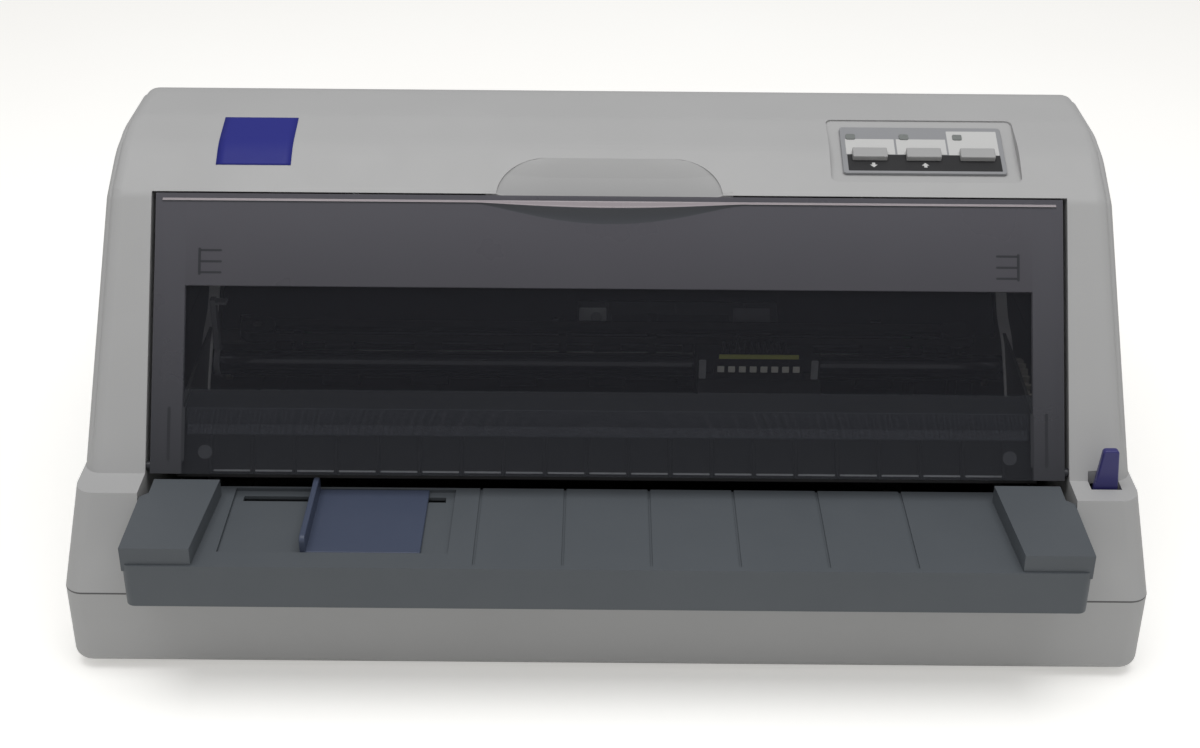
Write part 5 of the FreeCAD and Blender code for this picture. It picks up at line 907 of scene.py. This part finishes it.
def frame_edge_mesh(name, side, steps=12):
    """Bent front edge of a side frame: a bar that leans back along a smooth path, seen through the window.

    The path is a running mean of the listed side view points, and a rectangle is carried along it at right
    angles."""
    reach = np.linspace(0, lengths_along(FRAME_EDGE)[-1], steps)
    y, z = smoothed(FRAME_EDGE, reach, FRAME_EDGE_SMOOTH, 9)
    tangent = np.stack([np.gradient(y), np.gradient(z)], axis=1)
    tangent /= np.linalg.norm(tangent, axis=1)[:, None]
    near, far = FRAME_EDGE_SPAN[::side]
    rings = []
    for x, off in ((near, 0), (far, 0), (far, FRAME_EDGE_THICKNESS), (near, FRAME_EDGE_THICKNESS)):
        rings.append(np.stack([np.full(steps, side * x), y + tangent[:, 1] * off,
                               z - tangent[:, 0] * off], axis=1))
    mesh = grid_mesh(name, np.stack(rings, axis=1) * MM, closed=True)
    mesh.shade_flat()
    return mesh


class PRINTER_OT_panel(bpy.types.Operator):
    """Control panel with its printed fields and lamps, the three buttons and the bare badge plate"""
    bl_idname = "printer.panel"
    bl_label = "Control panel"

    def execute(self, context):
        sizes = context.scene.printer_sizes
        finished("panel_plate", ["panel_film"], sizes.break_edge / 2, clamp=False)
        for node in ("feed_button", "load_button", "pause_button"):
            finished(node, ["white_buttons"], sizes.break_edge, segments=3, clamp=False)
        for name, middle, half, shade in PANEL_FIELDS:
            mesh = plate_on(name, on_panel, (*middle, 0), half, PRINT_CORNER, PRINT_LEVELS)
            add_piece(name, mesh, "machine", [shade])
        for name, across, turn in ARROWS:
            add_piece(name, arrow_mesh(name, across, turn), "machine", ["white"])
        for index, across in enumerate(LAMPS):
            name = f"panel_lamp_{index}"
            mesh = plate_on(name, on_panel, (across, LAMP_UP, 0), LAMP_HALF, LAMP_CORNER, LAMP_LEVELS)
            add_piece(name, mesh, "machine", ["lamp"])
        badge = add_piece("badge_plate", badge_mesh(), "machine", ["badge"])
        thicken(badge, BADGE_THICKNESS * MM)
        return {"FINISHED"}


def arrow_mesh(name, across, turn):
    """A plain printed arrow on the panel's dark band, pointing down for a turn of 1 and up for -1."""
    outline = np.array(ARROW)
    points = np.column_stack([across + outline[:, 0], ARROW_UP + turn * outline[:, 1],
                              np.full(len(outline), ARROW_LEVEL)])
    mesh = bpy.data.meshes.new(name)
    mesh.from_pydata(on_panel(points).tolist(), [], [list(range(len(outline)))[::-turn]])
    return mesh


def badge_mesh(columns=10, rows=30):
    """The badge follows the brow: a strip of the housing's side view, just outside it.

    A running mean of the sharp side view over twice the tangent length of its corner arcs gives them very
    nearly."""
    reach = BADGE_UP + np.linspace(0, BADGE_HEIGHT, rows)
    y, z = smoothed([SLOPE_TOP, BROW, CROWN], reach, BADGE_SMOOTH, 21)
    x = np.linspace(*BADGE_ACROSS, columns)
    points = np.stack(np.broadcast_arrays(x, y[:, None], z[:, None] + BADGE_PROUD), axis=-1)
    return grid_mesh("badge_plate", points * MM)


class PRINTER_OT_levers(bpy.types.Operator):
    """Blue release lever, and the gap lever on the carriage shaft"""
    bl_idname = "printer.levers"
    bl_label = "Levers"

    def execute(self, context):
        width = context.scene.printer_sizes.break_edge
        finished("release_lever", ["blue_lever"], width * LEVER_ROUNDING, segments=3, clamp=False)
        finished("gap_lever", ["grey_lever"], width)
        return {"FINISHED"}


class PRINTER_OT_frames(bpy.types.Operator):
    """Front edges of the two side frames, near white as their painted highlight"""
    bl_idname = "printer.frames"
    bl_label = "Side frames"

    def execute(self, context):
        for side, name in ((-1, "left_frame_edge"), (1, "right_frame_edge")):
            add_piece(name, frame_edge_mesh(name, side), "machine", ["frame_edge"])
        return {"FINISHED"}


class PRINTER_OT_inner_cover(bpy.types.Operator):
    """Hatch and screws of the inner cover"""
    bl_idname = "printer.inner_cover"
    bl_label = "Inner cover"

    def execute(self, context):
        for name, across, up, levels, slot, _ in HATCH_PIECES:
            middle = (sum(across) / 2, sum(up) / 2, 0)
            half = ((across[1] - across[0]) / 2, (up[1] - up[0]) / 2)
            mesh = plate_on(name, on_inner_cover, middle, half, HATCH_CORNER, levels)
            add_piece(name, mesh, "machine", [name])
        for name, middle in SCREWS:
            mesh = plate_on(name, on_inner_cover, middle, (SCREW_RADIUS, SCREW_RADIUS), SCREW_RADIUS - 0.01,
                            SCREW_LEVELS)
            screw = add_piece(name, mesh, "machine", ["screw"])
            break_edges(screw, SCREW_EDGE * MM)
        return {"FINISHED"}


class PRINTER_OT_carriage(bpy.types.Operator):
    """Ribbon strip and brackets on the carriage's front"""
    bl_idname = "printer.carriage"
    bl_label = "Carriage front"

    def execute(self, context):
        for name, middle, half, corner, levels, finish in CARRIAGE_PLATES:
            mesh = plate_on(name, on_front, middle, half, corner, levels)
            add_piece(name, mesh, "carriage", [finish])
        return {"FINISHED"}


class PRINTER_OT_guide_lips(bpy.types.Operator):
    """Flat bars on the lower edge of the ribbed guide, between its ribs, pale as the edge's painted highlight
    """
    bl_idname = "printer.guide_lips"
    bl_label = "Ribbed guide's edge"

    def execute(self, context):
        half = ((GUIDE_LIP_PITCH - GUIDE_LIP_GAP) / 2, GUIDE_LIP_HALF)
        for index in range(GUIDE_LIP_COUNT):
            across = (index - GUIDE_LIP_COUNT / 2) * GUIDE_LIP_PITCH + GUIDE_LIP_START + half[0]
            name = f"guide_lip_{index}"
            mesh = plate_on(name, on_cover, (across, GUIDE_LIP_UP, GUIDE_LIP_OUT), half, GUIDE_LIP_CORNER,
                            (-GUIDE_LIP_THICK, GUIDE_LIP_THICK))
            add_piece(name, mesh, "machine", ["guide_lip"])
        return {"FINISHED"}


class PRINTER_OT_mechanism(bpy.types.Operator):
    """Gives the print mechanism, the gears, the tractors and the boards their finishes"""
    bl_idname = "printer.mechanism"
    bl_label = "Mechanism"

    def execute(self, context):
        edge = context.scene.printer_sizes.break_edge / 2
        finished("head_terminals", ["terminals"], edge)
        for node in ("drive_pulley", "idler_pulley"):
            finished(node, ["black_plastic"], edge)
        for node in ("front_pinch_rollers", "rear_pinch_rollers", "pinch_holders"):
            finished(node, ["black_rubber"], edge)
        finished("carriage_shaft", ["carriage_shaft"], edge)
        for node, thing in frame["nodes"].items():
            finish = node_slot(node)
            thing.data.materials.clear()
            thing.data.materials.append(finish_of(finish))
            if node in FINISHED:
                continue
            if node in BROKEN_NODES:
                finished(node, [finish], edge)
                continue
            thing.data.shade_smooth()
            weld = thing.modifiers.new("Weld", "WELD")
            weld.merge_threshold = MERGE_DISTANCE
            crease = thing.modifiers.new("Creases", "EDGE_SPLIT")
            crease.split_angle = CREASE_ANGLE
        return {"FINISHED"}


class PRINTER_OT_stage(bpy.types.Operator):
    """Pale floor, soft light from above and in front, and the camera"""
    bl_idname = "printer.stage"
    bl_label = "Stage"

    def execute(self, context):
        settings = context.scene.printer_stage
        scene = context.scene
        scene.view_settings.view_transform = "Standard"
        corners = np.array([[(x, y, 0) for x in FLOOR_X] for y in FLOOR_Y], dtype=float)
        floor = bpy.data.objects.new("floor", grid_mesh("floor", corners))
        scene.collection.objects.link(floor)
        floor.data.materials.append(floor_material())
        world = bpy.data.worlds.new("Studio")
        scene.world = world
        world.use_nodes = True
        tree = world.node_tree
        strength = spread(tree, camera_ray(tree), settings.sky, 1, (0, 1))
        wire(tree, tree.nodes["Background"], {"Color": (1, 1, 1, 1), "Strength": strength})
        add_softbox("key", KEY_PLACE, KEY_TARGET, KEY_SIZE, settings.key_power)
        camera = bpy.data.cameras.new("camera")
        camera.lens = settings.lens
        camera.sensor_width = SENSOR_WIDTH
        view = bpy.data.objects.new("camera", camera)
        scene.collection.objects.link(view)
        turn = Matrix.Rotation(math.pi / 2 - settings.tilt, 4, "X") @ Matrix.Rotation(settings.roll, 4, "Z")
        view.matrix_world = Matrix.Translation(CAMERA_PLACE) @ turn
        scene.camera = view
        return {"FINISHED"}


def floor_material():
    """A bright diffuse floor that glows to the camera, so that it stays white and keeps a soft shadow."""
    material, tree, shader, place = new_material("Floor")
    tone = spread(tree, noise(tree, place, 2), 0, 1)
    wire(tree, shader, {
        "Base Color": tinted(tree, tone, srgb(250, 249, 246), srgb(253, 253, 251)),
        "Roughness": 0.9,
        "Specular IOR Level": 0.1,
        "Emission Color": (1, 0.985, 0.955, 1),
        "Emission Strength": spread(tree, camera_ray(tree), 0.1, 0.38, (0, 1))})
    return material


def add_softbox(name, place, target, size, power):
    """A rectangular soft light at a place, turned to a target."""
    lamp = bpy.data.lights.new(name, "AREA")
    lamp.shape = "RECTANGLE"
    lamp.size, lamp.size_y = size
    lamp.energy = power
    box = bpy.data.objects.new(name, lamp)
    bpy.context.scene.collection.objects.link(box)
    box.location = place
    box.rotation_euler = (Vector(target) - Vector(place)).to_track_quat("-Z", "Y").to_euler()


class PRINTER_PT_sidebar(bpy.types.Panel):
    """Lists the printer's sizes, colours and building steps"""
    bl_idname = "PRINTER_PT_sidebar"
    bl_label = "Printer"
    bl_space_type = "VIEW_3D"
    bl_region_type = "UI"
    bl_category = "Printer"

    def draw(self, context):
        layout = self.layout
        scene = context.scene
        for group in (scene.printer_sizes, scene.printer_colours, scene.printer_stage):
            for name in group.__annotations__:
                layout.prop(group, name)
        for operator in OPERATORS:
            layout.operator(operator.bl_idname)


OPERATORS = (PRINTER_OT_housing, PRINTER_OT_tray, PRINTER_OT_cover, PRINTER_OT_panel, PRINTER_OT_levers,
             PRINTER_OT_frames, PRINTER_OT_inner_cover, PRINTER_OT_carriage, PRINTER_OT_guide_lips,
             PRINTER_OT_mechanism, PRINTER_OT_stage)
GROUPS = (PrinterColours, PrinterSizes, PrinterStage)


def register():
    """Registers the classes and hangs the three groups of settings on the scene."""
    for item in GROUPS + OPERATORS + (PRINTER_PT_sidebar,):
        bpy.utils.register_class(item)
    bpy.types.Scene.printer_colours = bpy.props.PointerProperty(type=PrinterColours)
    bpy.types.Scene.printer_sizes = bpy.props.PointerProperty(type=PrinterSizes)
    bpy.types.Scene.printer_stage = bpy.props.PointerProperty(type=PrinterStage)


def unregister():
    """Takes the settings and the classes out again."""
    for name in ("printer_colours", "printer_sizes", "printer_stage"):
        delattr(bpy.types.Scene, name)
    for item in reversed(GROUPS + OPERATORS + (PRINTER_PT_sidebar,)):
        bpy.utils.unregister_class(item)


def main():
    """Runs every operator in order."""
    register()
    for operator in OPERATORS:
        group, name = operator.bl_idname.split(".")
        getattr(getattr(bpy.ops, group), name)()


if __name__ == "__main__":
    main()
